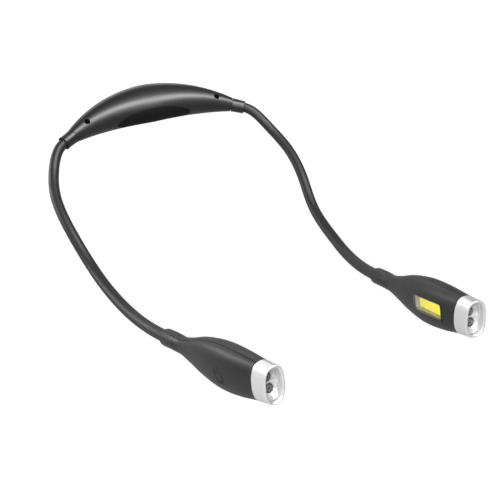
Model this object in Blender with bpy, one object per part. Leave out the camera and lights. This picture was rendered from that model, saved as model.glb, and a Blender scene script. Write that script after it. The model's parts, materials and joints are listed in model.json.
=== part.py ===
"""Neck reading light.

An arched housing lies on the back of the neck. Two flexible arms reach forward from it
over the shoulders, and each carries a lamp head with two spot LEDs in its silver nose
and an LED strip behind a clear window in its inner side.

Lengths are metres, +Z is up, and -Y points from the neck to the lamp heads. The origin
is the middle of the pad that lies against the neck. The object is symmetrical: each piece
is worked out for the +X side, and its twin on the -X side is the mirror image.
"""

import math

import bmesh
import bpy
from mathutils import Vector

# Clearances that all pieces share
SEAT_GAP = 0.0003
CUT_OVERRUN = 0.002

# Neck housing
HOUSING_HALF_SPAN = 0.078
HOUSING_HEIGHT = 0.0340
HOUSING_DEPTH = 0.0256
HOUSING_WALL = 0.0012
HOUSING_LEAN = math.radians(55.5)
HOUSING_END_SLOPE = math.radians(30.6)
HEIGHT_TAPER_POWER = 1.54
DEPTH_TAPER_POWER = 2.1
HOUSING_SQUARENESS = 2.2
COLLAR_RADIUS = 0.0056
COLLAR_LENGTH = 0.0105
COLLAR_MOUTH_DEPTH = 0.0055
COLLAR_MOUTH_CLEARANCE = 0.0007
COLLAR_WEB = 0.0014
COLLAR_SPIGOT_LENGTH = 0.0030
COLLAR_EDGE = 0.0004

# Housing screws
SCREW_DISTANCE = 0.0582
SCREW_RISE = -0.0014
SCREW_HEAD_RADIUS = 0.0020
SCREW_HEAD_THICKNESS = 0.0013
SCREW_SHANK_RADIUS = 0.0010
SCREW_SHANK_LENGTH = 0.0055
SCREW_SEAT_DEPTH = 0.0022
SCREW_BOSS_WALL = 0.0010

# Batteries, three AAA cells in a triangular bundle, and their contact plates
CELL_RADIUS = 0.0050
CELL_LENGTH = 0.0430
CELL_TIP_RADIUS = 0.0018
CELL_TIP_LENGTH = 0.0010
CONTACT_THICKNESS = 0.0006
CONTACT_PAD_HEIGHT = 0.0019
CONTACT_MARGIN = 0.0022
BULKHEAD_THICKNESS = 0.0016

# Battery door, the oval pad in the hollow of the arch, against the neck
DOOR_LENGTH = 0.0634
DOOR_WIDTH = 0.0172
DOOR_WRAP = math.radians(78)

# Arms
SLEEVE_RADIUS = 0.0040
SOCKET_CLEARANCE = 0.0003
ARM_BULGE = 0.0228
ARM_REACH = 0.2058
ARM_DROP = 0.0817
ARM_LEAD = 0.0080
ARM_TAIL = 0.0370
WIRE_HOLE_RADIUS = 0.0015
ANCHOR_STEM_LENGTH = 0.0060
ANCHOR_FLANGE_RADIUS = 0.0030
ANCHOR_FLANGE_LENGTH = 0.0010

# The arm's free curve between its lead and its tail, as shares of bulge, reach and drop
ARM_CURVE_SHARES = (
    (0.66, 0.062, 0.205),
    (0.95, 0.178, 0.372),
    (0.86, 0.312, 0.577),
    (0.60, 0.422, 0.830),
    (0.46, 0.611, 0.955),
)
ARM_END_SHARES = (-0.035, 1.0, 0.917)
ARM_SAMPLES = 400

# Places of the five bending points, as shares of the arm's length
BEND_SHARES = (0.06, 0.20, 0.48, 0.75, 0.90)

# Lamp heads
HEAD_LENGTH = 0.1293
HEAD_HEIGHT = 0.0280
HEAD_WIDTH = 0.0178
HEAD_WALL = 0.0014
HEAD_PITCH = math.radians(12.4)
HEAD_TOE_IN = math.radians(6.9)
HEAD_ROLL = math.radians(1.1)
HEAD_COLLAR_RADIUS = 0.0056
HEAD_COLLAR_LENGTH = 0.0120
HEAD_COLLAR_WEB = 0.0012
HEAD_COLLAR_SPIGOT = 0.0028
HEAD_SEAM_OFFSET = 0.0025

# Head sections: share of the length, then of height and width, then of height for the
# drop of the middle, then how square the section is
HEAD_SECTION_SHARES = (
    (0.092, 0.400, 0.629, 0.000, 2.0),
    (0.140, 0.398, 0.612, 0.008, 2.0),
    (0.200, 0.410, 0.560, 0.022, 2.1),
    (0.300, 0.575, 0.680, 0.028, 2.3),
    (0.420, 0.825, 0.860, 0.026, 2.4),
    (0.560, 0.988, 0.990, 0.030, 2.5),
    (0.660, 1.000, 1.000, 0.026, 2.6),
    (0.780, 0.940, 0.930, 0.014, 2.7),
    (0.892, 0.832, 0.750, 0.000, 2.8),
    (1.000, 0.735, 0.630, -0.010, 3.0),
)

# Silver nose and the spot lamps in it
BEZEL_DEPTH = 0.0127
BEZEL_RIM = 0.0015
BEZEL_CHAMFER = 0.0007
BEZEL_SPIGOT_LENGTH = 0.0032
BEZEL_SPIGOT_WALL = 0.0010
REFLECTOR_DEPTH = 0.0070
REFLECTOR_FLOOR = 0.0026
REFLECTOR_WALL = 0.0007
LENS_THICKNESS = 0.0012
LED_RADIUS = 0.0025
LED_FLANGE_RADIUS = 0.0028
LED_FLANGE_THICKNESS = 0.0010
LED_SPACING = 0.0063
LED_CUP_RADIUS = 0.0030
LED_CUP_THROAT = 0.0028
BOARD_THICKNESS = 0.0012

# Strip lamp in the inner side
STRIP_TO_BEZEL = 0.0131
WINDOW_LENGTH = 0.0330
WINDOW_HEIGHT = 0.0090
WINDOW_CORNER = 0.0012
WINDOW_THICKNESS = 0.0012
WELL_DEPTH = 0.0042
WELL_WALL = 0.0009
STRIP_LENGTH = 0.0280
STRIP_HEIGHT = 0.0068
STRIP_THICKNESS = 0.0005

# Power button in the outer side
BUTTON_TO_BEZEL = 0.0326
BUTTON_DROP = 0.0015
BUTTON_RADIUS = 0.0052
BUTTON_TRAVEL = 0.0006
BUTTON_STEM_RADIUS = 0.0015
SWITCH_SIDE = 0.0060
SWITCH_THICKNESS = 0.0022
SWITCH_PLUNGER_RADIUS = 0.0012
SWITCH_PLUNGER_HEIGHT = 0.0009
SWITCH_BOARD_LENGTH = 0.0200
SWITCH_BOARD_PLACE = 0.0004

# Facets
SHARP_ANGLE = math.radians(35)
ARCH_STATIONS = 12
HOUSING_HALF_POINTS = 9
HEAD_HALF_POINTS = 8
ROUND_SIDES = 20
SMALL_SIDES = 14
SLEEVE_SIDES = 12
BALL_RINGS = 3
SLEEVE_STEP = 0.012
BUTTON_ARC_POINTS = 6
STRIP_ARC_POINTS = 5
CORNER_ARC_POINTS = 3
DOME_ARC_POINTS = 4
SPLINE_ORDER = 4

MATERIALS = {
    "housing_black": ((0.012, 0.012, 0.013), 0.28, 0.0),
    "pad_black": ((0.010, 0.010, 0.011), 0.85, 0.0),
    "sleeve_grey": ((0.060, 0.060, 0.062), 0.62, 0.0),
    "head_black": ((0.030, 0.030, 0.032), 0.55, 0.0),
    "bezel_silver": ((0.720, 0.720, 0.730), 0.30, 1.0),
    "reflector_chrome": ((0.860, 0.860, 0.870), 0.12, 1.0),
    "clear_plastic": ((0.930, 0.950, 0.960), 0.04, 0.0),
    "led_resin": ((0.900, 0.880, 0.700), 0.15, 0.0),
    "strip_phosphor": ((0.950, 0.780, 0.050), 0.45, 0.0),
    "board_white": ((0.780, 0.780, 0.760), 0.50, 0.0),
    "board_green": ((0.030, 0.180, 0.080), 0.45, 0.0),
    "steel": ((0.560, 0.560, 0.580), 0.30, 1.0),
    "screw_black": ((0.018, 0.018, 0.019), 0.45, 0.5),
    "cell_wrap": ((0.200, 0.220, 0.240), 0.40, 0.0),
    "switch_black": ((0.020, 0.020, 0.022), 0.50, 0.0),
}

ARCH_RADIUS = (
    HOUSING_HALF_SPAN - COLLAR_LENGTH * math.cos(HOUSING_END_SLOPE)
) / math.sin(HOUSING_END_SLOPE)
SHELL_HALF_LENGTH = ARCH_RADIUS * HOUSING_END_SLOPE
MOUTH_DISTANCE = SHELL_HALF_LENGTH + COLLAR_LENGTH
COLLAR_INNER_END = COLLAR_LENGTH - COLLAR_WEB
BEZEL_REAR = HEAD_LENGTH - BEZEL_DEPTH
BEZEL_BORE_INSET = HEAD_WALL + SEAT_GAP + BEZEL_SPIGOT_WALL
STRIP_MIDDLE = BEZEL_REAR - STRIP_TO_BEZEL - WINDOW_LENGTH / 2
BUTTON_PLACE = BEZEL_REAR - BUTTON_TO_BEZEL


def clear_scene():
    """Start from an empty scene."""
    for existing in list(bpy.data.objects):
        bpy.data.objects.remove(existing, do_unlink=True)


def make_materials():
    """One plain Principled material for each finish."""
    for name, (colour, roughness, metallic) in MATERIALS.items():
        material = bpy.data.materials.new(name)
        material.use_nodes = True
        shader = material.node_tree.nodes["Principled BSDF"]
        shader.inputs["Base Color"].default_value = (*colour, 1.0)
        shader.inputs["Roughness"].default_value = roughness
        shader.inputs["Metallic"].default_value = metallic
        material.diffuse_color = (*colour, 1.0)


class Body:
    """A rigid group of pieces, hung on an empty that stands on its joint's axis."""

    def __init__(self, name, place, parent=None):
        self.place = Vector(place)
        self.empty = bpy.data.objects.new(name + "_axis", None)
        self.empty.empty_display_size = SLEEVE_RADIUS
        if parent:
            self.empty.parent = parent.empty
            self.empty.location = self.place - parent.place
        else:
            self.empty.location = self.place
        bpy.context.scene.collection.objects.link(self.empty)


def loft(rings, wrap=False):
    """A mesh through rings of points: capped at both ends, or closed into a loop of rings."""
    mesh = bmesh.new()
    rows = [[mesh.verts.new(point) for point in ring] for ring in rings]
    pairs = list(zip(rows, rows[1:]))
    if wrap:
        pairs.append((rows[-1], rows[0]))
    for low, high in pairs:
        for i in range(len(low)):
            j = (i + 1) % len(low)
            mesh.faces.new((low[i], low[j], high[j], high[i]))
    if not wrap:
        mesh.faces.new(rows[0])
        mesh.faces.new(rows[-1])
    return mesh


def add_piece(name, mesh, body, material, side=1, cutter=False):
    """Make an object of a mesh built in place, mirrored when side is -1."""
    if side < 0:
        bmesh.ops.scale(mesh, vec=(side, 1, 1), verts=mesh.verts)
    bmesh.ops.translate(mesh, vec=-body.place, verts=mesh.verts)
    bmesh.ops.recalc_face_normals(mesh, faces=mesh.faces)
    data = bpy.data.meshes.new(name)
    mesh.to_mesh(data)
    mesh.free()
    data.shade_smooth()
    data.set_sharp_from_angle(angle=SHARP_ANGLE)
    piece = bpy.data.objects.new(name, data)
    piece.parent = body.empty
    bpy.context.scene.collection.objects.link(piece)
    if cutter:
        piece.hide_render = True
        piece.display_type = "WIRE"
    else:
        data.materials.append(bpy.data.materials[material])
    return piece


def combine(piece, other, operation):
    """Cut, join or trim a piece with a hidden helper object."""
    modifier = piece.modifiers.new(other.name, "BOOLEAN")
    modifier.object = other
    modifier.operation = operation
    modifier.solver = "EXACT"


def axes_along(axis):
    """Two unit vectors square to an axis and to each other."""
    level = axis.cross(Vector((0, 0, 1)))
    if level.length < axis.length / 2:
        level = axis.cross(Vector((0, 1, 0)))
    level.normalize()
    return level, level.cross(axis).normalized()


def circle(centre, axis, radius, sides):
    """Points of a circle about an axis."""
    across, upward = axes_along(axis)
    turns = [2 * math.pi * i / sides for i in range(sides)]
    return [centre + radius * (math.cos(a) * across + math.sin(a) * upward) for a in turns]


def turned(origin, axis, profile, sides, wrap=False):
    """A piece turned about an axis, from (distance along the axis, radius) pairs."""
    rings = [circle(origin + axis * along, axis, radius, sides) for along, radius in profile]
    return loft(rings, wrap)


def curve_power(value, power):
    """A signed power, for superellipses."""
    return math.copysign(abs(value) ** power, value)


def oval_point(angle, half_out, half_up, squareness):
    """A point of a superellipse; angle 0 is out, a quarter turn is up."""
    return (
        half_out * curve_power(math.cos(angle), 2 / squareness),
        half_up * curve_power(math.sin(angle), 2 / squareness),
    )


def spread(start, end, count):
    """Evenly spaced values from start to end."""
    return [start + (end - start) * i / count for i in range(count + 1)]


# Neck housing, worked out as an upright arch that is then leaned back


def lean(vector):
    """Turn a point or direction of the upright arch back by the arch's lean."""
    cosine, sine = math.cos(HOUSING_LEAN), math.sin(HOUSING_LEAN)
    return Vector(
        (vector.x, vector.y * cosine + vector.z * sine, vector.z * cosine - vector.y * sine)
    )


def arch_point(distance, out, up):
    """A point by its distance along the arch, out square to the arch's plane, and up in it."""
    angle = max(-HOUSING_END_SLOPE, min(HOUSING_END_SLOPE, distance / ARCH_RADIUS))
    straight = distance - angle * ARCH_RADIUS
    radial = Vector((math.sin(angle), 0, math.cos(angle)))
    along = Vector((math.cos(angle), 0, -math.sin(angle)))
    centre = Vector((0, 0, HOUSING_HEIGHT / 2 - ARCH_RADIUS)) + ARCH_RADIUS * radial
    return lean(centre + along * straight + radial * up + Vector((0, out, 0)))


def housing_oval(distance, angle, inset):
    """Out and up of the housing's section at an angle, a wall's thickness inside it."""
    share = min(1, abs(distance) / SHELL_HALF_LENGTH)
    depth_swell = 1 - share**DEPTH_TAPER_POWER
    height_swell = 1 - share**HEIGHT_TAPER_POWER
    half_depth = COLLAR_RADIUS + (HOUSING_DEPTH / 2 - COLLAR_RADIUS) * depth_swell
    half_height = COLLAR_RADIUS + (HOUSING_HEIGHT / 2 - COLLAR_RADIUS) * height_swell
    squareness = 2 + (HOUSING_SQUARENESS - 2) * depth_swell
    return oval_point(angle, half_depth - inset, half_height - inset, squareness)


def housing_stations(reach):
    """Distances along the arch, closer together near the shoulders."""
    turns = spread(-math.pi / 2, math.pi / 2, ARCH_STATIONS)
    return [reach * math.sin(turn) for turn in turns]


def half_housing_ring(distance, face, inset_out, inset_in):
    """Section of one half shell; face is -1 for the front half and 1 for the back half."""
    angles = spread(math.pi / 2, -math.pi / 2, HOUSING_HALF_POINTS)
    ring = []
    for inset, order in ((inset_out, angles), (inset_in, angles[::-1])):
        for angle in order:
            out, up = housing_oval(distance, angle, inset)
            ring.append(arch_point(distance, face * max(out, SEAT_GAP / 2), up))
    return ring


def solid_half_ring(distance, face):
    """Half section of what stands inside the shell, rooted in the shell's wall."""
    angles = spread(math.pi / 2, -math.pi / 2, HOUSING_HALF_POINTS)
    ring = []
    for angle in angles:
        out, up = housing_oval(distance, angle, HOUSING_WALL / 2)
        ring.append(arch_point(distance, face * max(out, SEAT_GAP), up))
    return ring


def trough(reach, outset, inset):
    """The wall in the arch's hollow, from outset outside it to inset inside it."""
    facing = -math.pi / 2
    angles = spread(facing - DOOR_WRAP, facing + DOOR_WRAP, 2 * HOUSING_HALF_POINTS)
    rings = []
    for distance in spread(-reach, reach, ARCH_STATIONS):
        outer = [housing_oval(distance, angle, -outset) for angle in angles]
        inner = [housing_oval(distance, angle, inset) for angle in angles[::-1]]
        rings.append([arch_point(distance, out, up) for out, up in outer + inner])
    return loft(rings)


def oval_prism(length, width):
    """An oval block from the middle of the housing out through the wall in the hollow."""
    inner, outer = [], []
    for i in range(2 * ROUND_SIDES):
        turn = math.pi * i / ROUND_SIDES
        point = arch_point(length / 2 * math.cos(turn), width / 2 * math.sin(turn), 0)
        inner.append(point)
        outer.append(point + HOUSING_HEIGHT * lean(Vector((0, 0, -1))))
    return loft([inner, outer])


def bay_half_length():
    """Middle of the battery bay to the inner face of a contact plate."""
    return CELL_LENGTH / 2 + CELL_TIP_LENGTH + CONTACT_PAD_HEIGHT


def screw_axis_point():
    """Where the screw's axis crosses the parting plane."""
    return arch_point(SCREW_DISTANCE, 0, SCREW_RISE)


def add_screw_boss(shell, root, face, side, name):
    """Join a boss to a half shell, kept inside its wall, and drill the screw's hole."""
    axis = lean(Vector((0, face, 0)))
    radius = SCREW_HEAD_RADIUS + SEAT_GAP + SCREW_BOSS_WALL
    profile = ((0, radius), (HOUSING_DEPTH / 2, radius))
    boss = add_piece(
        name + "_boss", turned(screw_axis_point(), axis, profile, SMALL_SIDES),
        root, None, side, cutter=True,
    )
    limits = spread(SCREW_DISTANCE - 2 * radius, SCREW_DISTANCE + 2 * radius, ARCH_STATIONS // 2)
    core = add_piece(
        name + "_boss_limit", loft([solid_half_ring(d, face) for d in limits]),
        root, None, side, cutter=True,
    )
    combine(boss, core, "INTERSECT")
    combine(shell, boss, "UNION")
    clearance = SCREW_SHANK_RADIUS + SEAT_GAP
    if face < 0:
        hole_profile = (
            (-CUT_OVERRUN, clearance),
            (SCREW_SEAT_DEPTH, clearance),
            (SCREW_SEAT_DEPTH, SCREW_HEAD_RADIUS + SEAT_GAP),
            (HOUSING_DEPTH, SCREW_HEAD_RADIUS + SEAT_GAP),
        )
    else:
        depth = SCREW_SHANK_LENGTH - SCREW_SEAT_DEPTH + SEAT_GAP
        hole_profile = ((-CUT_OVERRUN, clearance), (depth, clearance))
    hole = add_piece(
        name + "_screw_hole", turned(screw_axis_point(), axis, hole_profile, SMALL_SIDES),
        root, None, side, cutter=True,
    )
    combine(shell, hole, "DIFFERENCE")


def make_housing_shells(root):
    """Front and back half shells with screw bosses, bulkheads and the battery opening."""
    reach = SHELL_HALF_LENGTH - SEAT_GAP
    wall_start = bay_half_length() + CONTACT_THICKNESS + SEAT_GAP
    opening = add_piece(
        "battery_opening_cutter",
        trough(SHELL_HALF_LENGTH / 2, CUT_OVERRUN, HOUSING_WALL + SEAT_GAP),
        root, None, cutter=True,
    )
    oval = add_piece(
        "battery_opening_outline", oval_prism(DOOR_LENGTH, DOOR_WIDTH), root, None, cutter=True
    )
    combine(opening, oval, "INTERSECT")
    for name, face in (("front_shell", -1), ("back_shell", 1)):
        rings = [half_housing_ring(d, face, 0, HOUSING_WALL) for d in housing_stations(reach)]
        shell = add_piece("housing_" + name, loft(rings), root, "housing_black")
        for side, word in ((-1, "left"), (1, "right")):
            walls = [solid_half_ring(d, face) for d in (wall_start, wall_start + BULKHEAD_THICKNESS)]
            bulkhead = add_piece(
                f"{word}_{name}_bulkhead", loft(walls), root, None, side, cutter=True
            )
            combine(shell, bulkhead, "UNION")
            add_screw_boss(shell, root, face, side, f"{word}_{name}")
        combine(shell, opening, "DIFFERENCE")


def make_housing_screw(root, side, word):
    """Countersunk screw from the front shell into the back shell's boss."""
    profile = (
        (SCREW_SEAT_DEPTH - SCREW_SHANK_LENGTH + SEAT_GAP, SCREW_SHANK_RADIUS),
        (SCREW_SEAT_DEPTH + SEAT_GAP, SCREW_SHANK_RADIUS),
        (SCREW_SEAT_DEPTH + SEAT_GAP, SCREW_HEAD_RADIUS),
        (SCREW_SEAT_DEPTH + SEAT_GAP + SCREW_HEAD_THICKNESS, SCREW_HEAD_RADIUS),
    )
    mesh = turned(screw_axis_point(), lean(Vector((0, -1, 0))), profile, SMALL_SIDES)
    add_piece(f"{word}_housing_screw", mesh, root, "screw_black", side)


def make_housing_collar(root, side, word):
    """Ring at the housing's end: a mouth for the sleeve, a web behind it and a spigot."""
    axis = arm_start_axis()
    spigot_radius = COLLAR_RADIUS - HOUSING_WALL - SEAT_GAP
    sleeve_bore = SLEEVE_RADIUS + SEAT_GAP
    mouth_bore = SLEEVE_RADIUS + COLLAR_MOUTH_CLEARANCE
    profile = (
        (0, COLLAR_RADIUS - COLLAR_EDGE),
        (-COLLAR_EDGE, COLLAR_RADIUS),
        (-COLLAR_LENGTH, COLLAR_RADIUS),
        (-COLLAR_LENGTH, spigot_radius),
        (-COLLAR_LENGTH - COLLAR_SPIGOT_LENGTH, spigot_radius),
        (-COLLAR_LENGTH - COLLAR_SPIGOT_LENGTH, WIRE_HOLE_RADIUS),
        (-COLLAR_INNER_END, WIRE_HOLE_RADIUS),
        (-COLLAR_INNER_END, sleeve_bore),
        (-COLLAR_MOUTH_DEPTH, sleeve_bore),
        (-COLLAR_MOUTH_DEPTH, mouth_bore),
        (0, mouth_bore),
    )
    mesh = turned(arm_start(), axis, profile, ROUND_SIDES, wrap=True)
    add_piece(f"{word}_housing_collar", mesh, root, "housing_black", side)


def make_batteries(root):
    """Three cells: two stacked towards the front, one nested behind them."""
    half_pitch = CELL_RADIUS + SEAT_GAP / 2
    nest = half_pitch * math.sqrt(3) / 2
    sag = ARCH_RADIUS - math.sqrt(ARCH_RADIUS**2 - (CELL_LENGTH / 2) ** 2)
    middle = HOUSING_HEIGHT / 2 - sag / 2
    cells = (("upper", -nest, half_pitch), ("lower", -nest, -half_pitch), ("rear", nest, 0))
    profile = (
        (-CELL_LENGTH / 2, CELL_RADIUS),
        (CELL_LENGTH / 2, CELL_RADIUS),
        (CELL_LENGTH / 2, CELL_TIP_RADIUS),
        (CELL_LENGTH / 2 + CELL_TIP_LENGTH, CELL_TIP_RADIUS),
    )
    for name, out, up in cells:
        direction = -1 if name == "lower" else 1
        origin = lean(Vector((0, out, middle + up)))
        mesh = turned(origin, Vector((direction, 0, 0)), profile, SMALL_SIDES)
        add_piece(f"{name}_battery", mesh, root, "cell_wrap")


def make_contact(root, side, word):
    """Sprung steel plate that closes one end of the battery bay."""
    start = bay_half_length()
    angles = [2 * math.pi * i / ROUND_SIDES for i in range(ROUND_SIDES)]
    rings = []
    for distance in (start, start + CONTACT_THICKNESS):
        ring = []
        for angle in angles:
            out, up = housing_oval(distance, angle, CONTACT_MARGIN)
            ring.append(arch_point(distance, out, up))
        rings.append(ring)
    add_piece(f"{word}_battery_contact", loft(rings), root, "steel", side)


def make_battery_door(root):
    """The oval piece of the wall in the hollow that lifts off over the batteries."""
    door_body = Body("battery_door", (0, 0, 0), root)
    mesh = trough(SHELL_HALF_LENGTH / 2, 0, HOUSING_WALL)
    door = add_piece("battery_door", mesh, door_body, "pad_black")
    outline = add_piece(
        "battery_door_outline",
        oval_prism(DOOR_LENGTH - 2 * SEAT_GAP, DOOR_WIDTH - 2 * SEAT_GAP),
        door_body, None, cutter=True,
    )
    combine(door, outline, "INTERSECT")


# Arms


def arm_start():
    """Middle of the collar's mouth."""
    return arch_point(MOUTH_DISTANCE, 0, 0)


def arm_start_axis():
    """Direction in which the sleeve leaves the collar."""
    return lean(Vector((math.cos(HOUSING_END_SLOPE), 0, -math.sin(HOUSING_END_SLOPE))))


def arm_share_point(shares):
    """A point from its shares of the arm's bulge, reach and drop."""
    bulge, reach, drop = shares
    start = arm_start()
    return Vector(
        (start.x + bulge * ARM_BULGE, start.y - reach * ARM_REACH, start.z - drop * ARM_DROP)
    )


def head_axes():
    """Forward, outward and upward directions of the head on the +X side."""
    forward = Vector(
        (
            -math.sin(HEAD_TOE_IN) * math.cos(HEAD_PITCH),
            -math.cos(HEAD_TOE_IN) * math.cos(HEAD_PITCH),
            math.sin(HEAD_PITCH),
        )
    )
    level = Vector((0, 0, 1)).cross(forward).normalized()
    square = forward.cross(level)
    outward = level * math.cos(HEAD_ROLL) - square * math.sin(HEAD_ROLL)
    upward = square * math.cos(HEAD_ROLL) + level * math.sin(HEAD_ROLL)
    return forward, outward, upward


def spline_weights(count, position):
    """Weights of a clamped B-spline's control points at a position from 0 up to 1."""
    spans = count - SPLINE_ORDER + 1
    knots = [0] * SPLINE_ORDER + [i / spans for i in range(1, spans)] + [1] * SPLINE_ORDER
    weights = [float(low <= position < high) for low, high in zip(knots, knots[1:])]
    for degree in range(1, SPLINE_ORDER):
        for i in range(len(knots) - 1 - degree):
            rise = knots[i + degree] - knots[i]
            fall = knots[i + degree + 1] - knots[i + 1]
            rising = (position - knots[i]) / rise * weights[i] if rise else 0
            falling = (knots[i + degree + 1] - position) / fall * weights[i + 1] if fall else 0
            weights[i] = rising + falling
    return weights[:count]


def arm_centreline():
    """Points closely spaced along the sleeve's free length."""
    start, end = arm_start(), arm_share_point(ARM_END_SHARES)
    controls = [start, start + arm_start_axis() * ARM_LEAD]
    controls += [arm_share_point(shares) for shares in ARM_CURVE_SHARES]
    controls += [end - head_axes()[0] * ARM_TAIL, end]
    points = []
    for i in range(ARM_SAMPLES):
        weights = spline_weights(len(controls), i / ARM_SAMPLES)
        points.append(sum((w * c for w, c in zip(weights, controls)), Vector((0, 0, 0))))
    return points + [end]


class Centreline:
    """The arm's middle line, read by distance from the collar's mouth."""

    def __init__(self):
        self.points = arm_centreline()
        self.distances = [0.0]
        for a, b in zip(self.points, self.points[1:]):
            self.distances.append(self.distances[-1] + (b - a).length)
        self.length = self.distances[-1]

    def at(self, distance):
        """Point and direction at a distance; both ends run on straight."""
        forward = head_axes()[0]
        if distance <= 0:
            return arm_start() + arm_start_axis() * distance, arm_start_axis()
        if distance >= self.length:
            return self.points[-1] + forward * (distance - self.length), forward
        index = next(i for i, d in enumerate(self.distances) if d > distance)
        a, b = self.points[index - 1], self.points[index]
        share = (distance - self.distances[index - 1]) / (b - a).length
        return a.lerp(b, share), (b - a).normalized()


def sleeve_rings(line, start, end, socket_start, ball_end):
    """Rings of one stretch of sleeve, with a hollow socket behind or a round ball ahead."""
    rings = []
    centre, axis = line.at(start)
    if socket_start:
        socket_radius = SLEEVE_RADIUS + SOCKET_CLEARANCE
        rim = math.asin(SLEEVE_RADIUS / socket_radius)
        for turn in spread(0, rim, BALL_RINGS)[1:]:
            spot = centre + axis * (socket_radius * math.cos(turn))
            rings.append(circle(spot, axis, socket_radius * math.sin(turn), SLEEVE_SIDES))
        start += 2 * SLEEVE_RADIUS
    else:
        rings.append(circle(centre, axis, SLEEVE_RADIUS, SLEEVE_SIDES))
        start += SLEEVE_STEP
    steps = max(1, round((end - start) / SLEEVE_STEP))
    for distance in spread(start, end, steps):
        centre, axis = line.at(distance)
        rings.append(circle(centre, axis, SLEEVE_RADIUS, SLEEVE_SIDES))
    if ball_end:
        for turn in spread(0, math.pi / 2, BALL_RINGS + 1)[1:-1]:
            spot = centre + axis * (SLEEVE_RADIUS * math.sin(turn))
            rings.append(circle(spot, axis, SLEEVE_RADIUS * math.cos(turn), SLEEVE_SIDES))
    return rings


def make_arm(root, side, word):
    """Sleeve in six stretches that bend at five ball joints; returns the head's body."""
    line = Centreline()
    bends = [share * line.length for share in BEND_SHARES]
    names = ("spread", "lift", "bend", "tilt", "turn")
    inner_end = line.length + HEAD_COLLAR_LENGTH - HEAD_COLLAR_WEB - SEAT_GAP
    root_end = SEAT_GAP - COLLAR_INNER_END
    mesh = loft(sleeve_rings(line, root_end, bends[0], False, True))
    sleeve = add_piece(f"{word}_arm_root_sleeve", mesh, root, "sleeve_grey", side)
    depth = root_end + ANCHOR_STEM_LENGTH + SEAT_GAP
    bore = add_piece(
        f"{word}_anchor_bore",
        turned(
            arm_start(), arm_start_axis(),
            ((root_end - CUT_OVERRUN, WIRE_HOLE_RADIUS), (depth, WIRE_HOLE_RADIUS)), SMALL_SIDES,
        ),
        root, None, side, cutter=True,
    )
    combine(sleeve, bore, "DIFFERENCE")
    body = root
    for number, (name, start) in enumerate(zip(names, bends), 1):
        place, _ = line.at(start)
        body = Body(f"{word}_{name}", (side * place.x, place.y, place.z), body)
        last = number == len(bends)
        end = inner_end if last else bends[number]
        mesh = loft(sleeve_rings(line, start, end, True, not last))
        piece = f"{word}_arm_head_sleeve" if last else f"{word}_arm_sleeve_{number}"
        add_piece(piece, mesh, body, "sleeve_grey", side)
    return body


def make_anchor(root, side, word):
    """Flanged end of the arm's steel core, which keeps the sleeve in the housing."""
    rear = -COLLAR_LENGTH - COLLAR_SPIGOT_LENGTH - SEAT_GAP
    stem = WIRE_HOLE_RADIUS - SEAT_GAP
    profile = (
        (rear - ANCHOR_FLANGE_LENGTH, ANCHOR_FLANGE_RADIUS),
        (rear, ANCHOR_FLANGE_RADIUS),
        (rear, stem),
        (SEAT_GAP - COLLAR_INNER_END + ANCHOR_STEM_LENGTH, stem),
    )
    mesh = turned(arm_start(), arm_start_axis(), profile, SMALL_SIDES)
    add_piece(f"{word}_arm_anchor", mesh, root, "steel", side)


# Lamp heads


def head_point(along, out, up):
    """A point by its distance along the head, out to the button's side, and up."""
    forward, outward, upward = head_axes()
    return arm_share_point(ARM_END_SHARES) + forward * along + outward * out + upward * up


def head_shape(along):
    """Half height, half width, middle and squareness of the head's section."""
    share = along / HEAD_LENGTH
    rows = HEAD_SECTION_SHARES
    index = next((i for i, row in enumerate(rows) if row[0] >= share), len(rows) - 1)
    index = max(1, index)
    tangents = []
    for i in (index - 1, index):
        low, high = rows[max(0, i - 1)], rows[min(len(rows) - 1, i + 1)]
        tangents.append([(h - l) / (high[0] - low[0]) for l, h in zip(low, high)])
    low, high = rows[index - 1], rows[index]
    step = high[0] - low[0]
    t = (share - low[0]) / step
    values = [
        a * (2 * t**3 - 3 * t**2 + 1) + b * (3 * t**2 - 2 * t**3)
        + step * (m * (t**3 - 2 * t**2 + t) + n * (t**3 - t**2))
        for a, b, m, n in zip(low, high, tangents[0], tangents[1])
    ]
    return (
        values[1] * HEAD_HEIGHT / 2, values[2] * HEAD_WIDTH / 2, -values[3] * HEAD_HEIGHT, values[4]
    )


def head_oval(along, angle, inset):
    """Out and up of the head's section at an angle, a wall's thickness inside it."""
    half_height, half_width, middle, squareness = head_shape(along)
    out, up = oval_point(angle, half_width - inset, half_height - inset, squareness)
    return out, up + middle


def head_ring(along, inset):
    """The whole outline of the head's section, a wall's thickness inside it."""
    angles = [2 * math.pi * i / ROUND_SIDES for i in range(ROUND_SIDES)]
    return [head_point(along, *head_oval(along, angle, inset)) for angle in angles]


def seam_angle(along, inset, seam):
    """The section angle whose point lies on the seam plane."""
    _, half_width, _, squareness = head_shape(along)
    share = abs(seam) / (half_width - inset)
    turn = math.acos(share ** (squareness / 2))
    return turn if seam > 0 else math.pi - turn


def half_head_ring(along, face):
    """Section of one half shell; face is 1 on the button's side and -1 on the strip's."""
    seam = HEAD_SEAM_OFFSET + face * SEAT_GAP / 2
    loops = []
    for inset in (0, HEAD_WALL):
        turn = seam_angle(along, inset, seam)
        end = -turn if face > 0 else 2 * math.pi - turn
        angles = spread(turn, end, 2 * HEAD_HALF_POINTS)
        loops.append([head_point(along, *head_oval(along, angle, inset)) for angle in angles])
    return loops[0] + loops[1][::-1]


def wall_patch(middle, reach, facing, steps, thickness):
    """A stretch of the head's wall that faces one side, as a solid."""
    angles = spread(facing - math.pi / 3, facing + math.pi / 3, 2 * steps)
    rings = []
    for along in spread(middle - reach, middle + reach, steps):
        outer = [head_oval(along, angle, 0) for angle in angles]
        inner = [head_oval(along, angle, thickness) for angle in angles[::-1]]
        rings.append([head_point(along, out, up) for out, up in outer + inner])
    return loft(rings)


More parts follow.
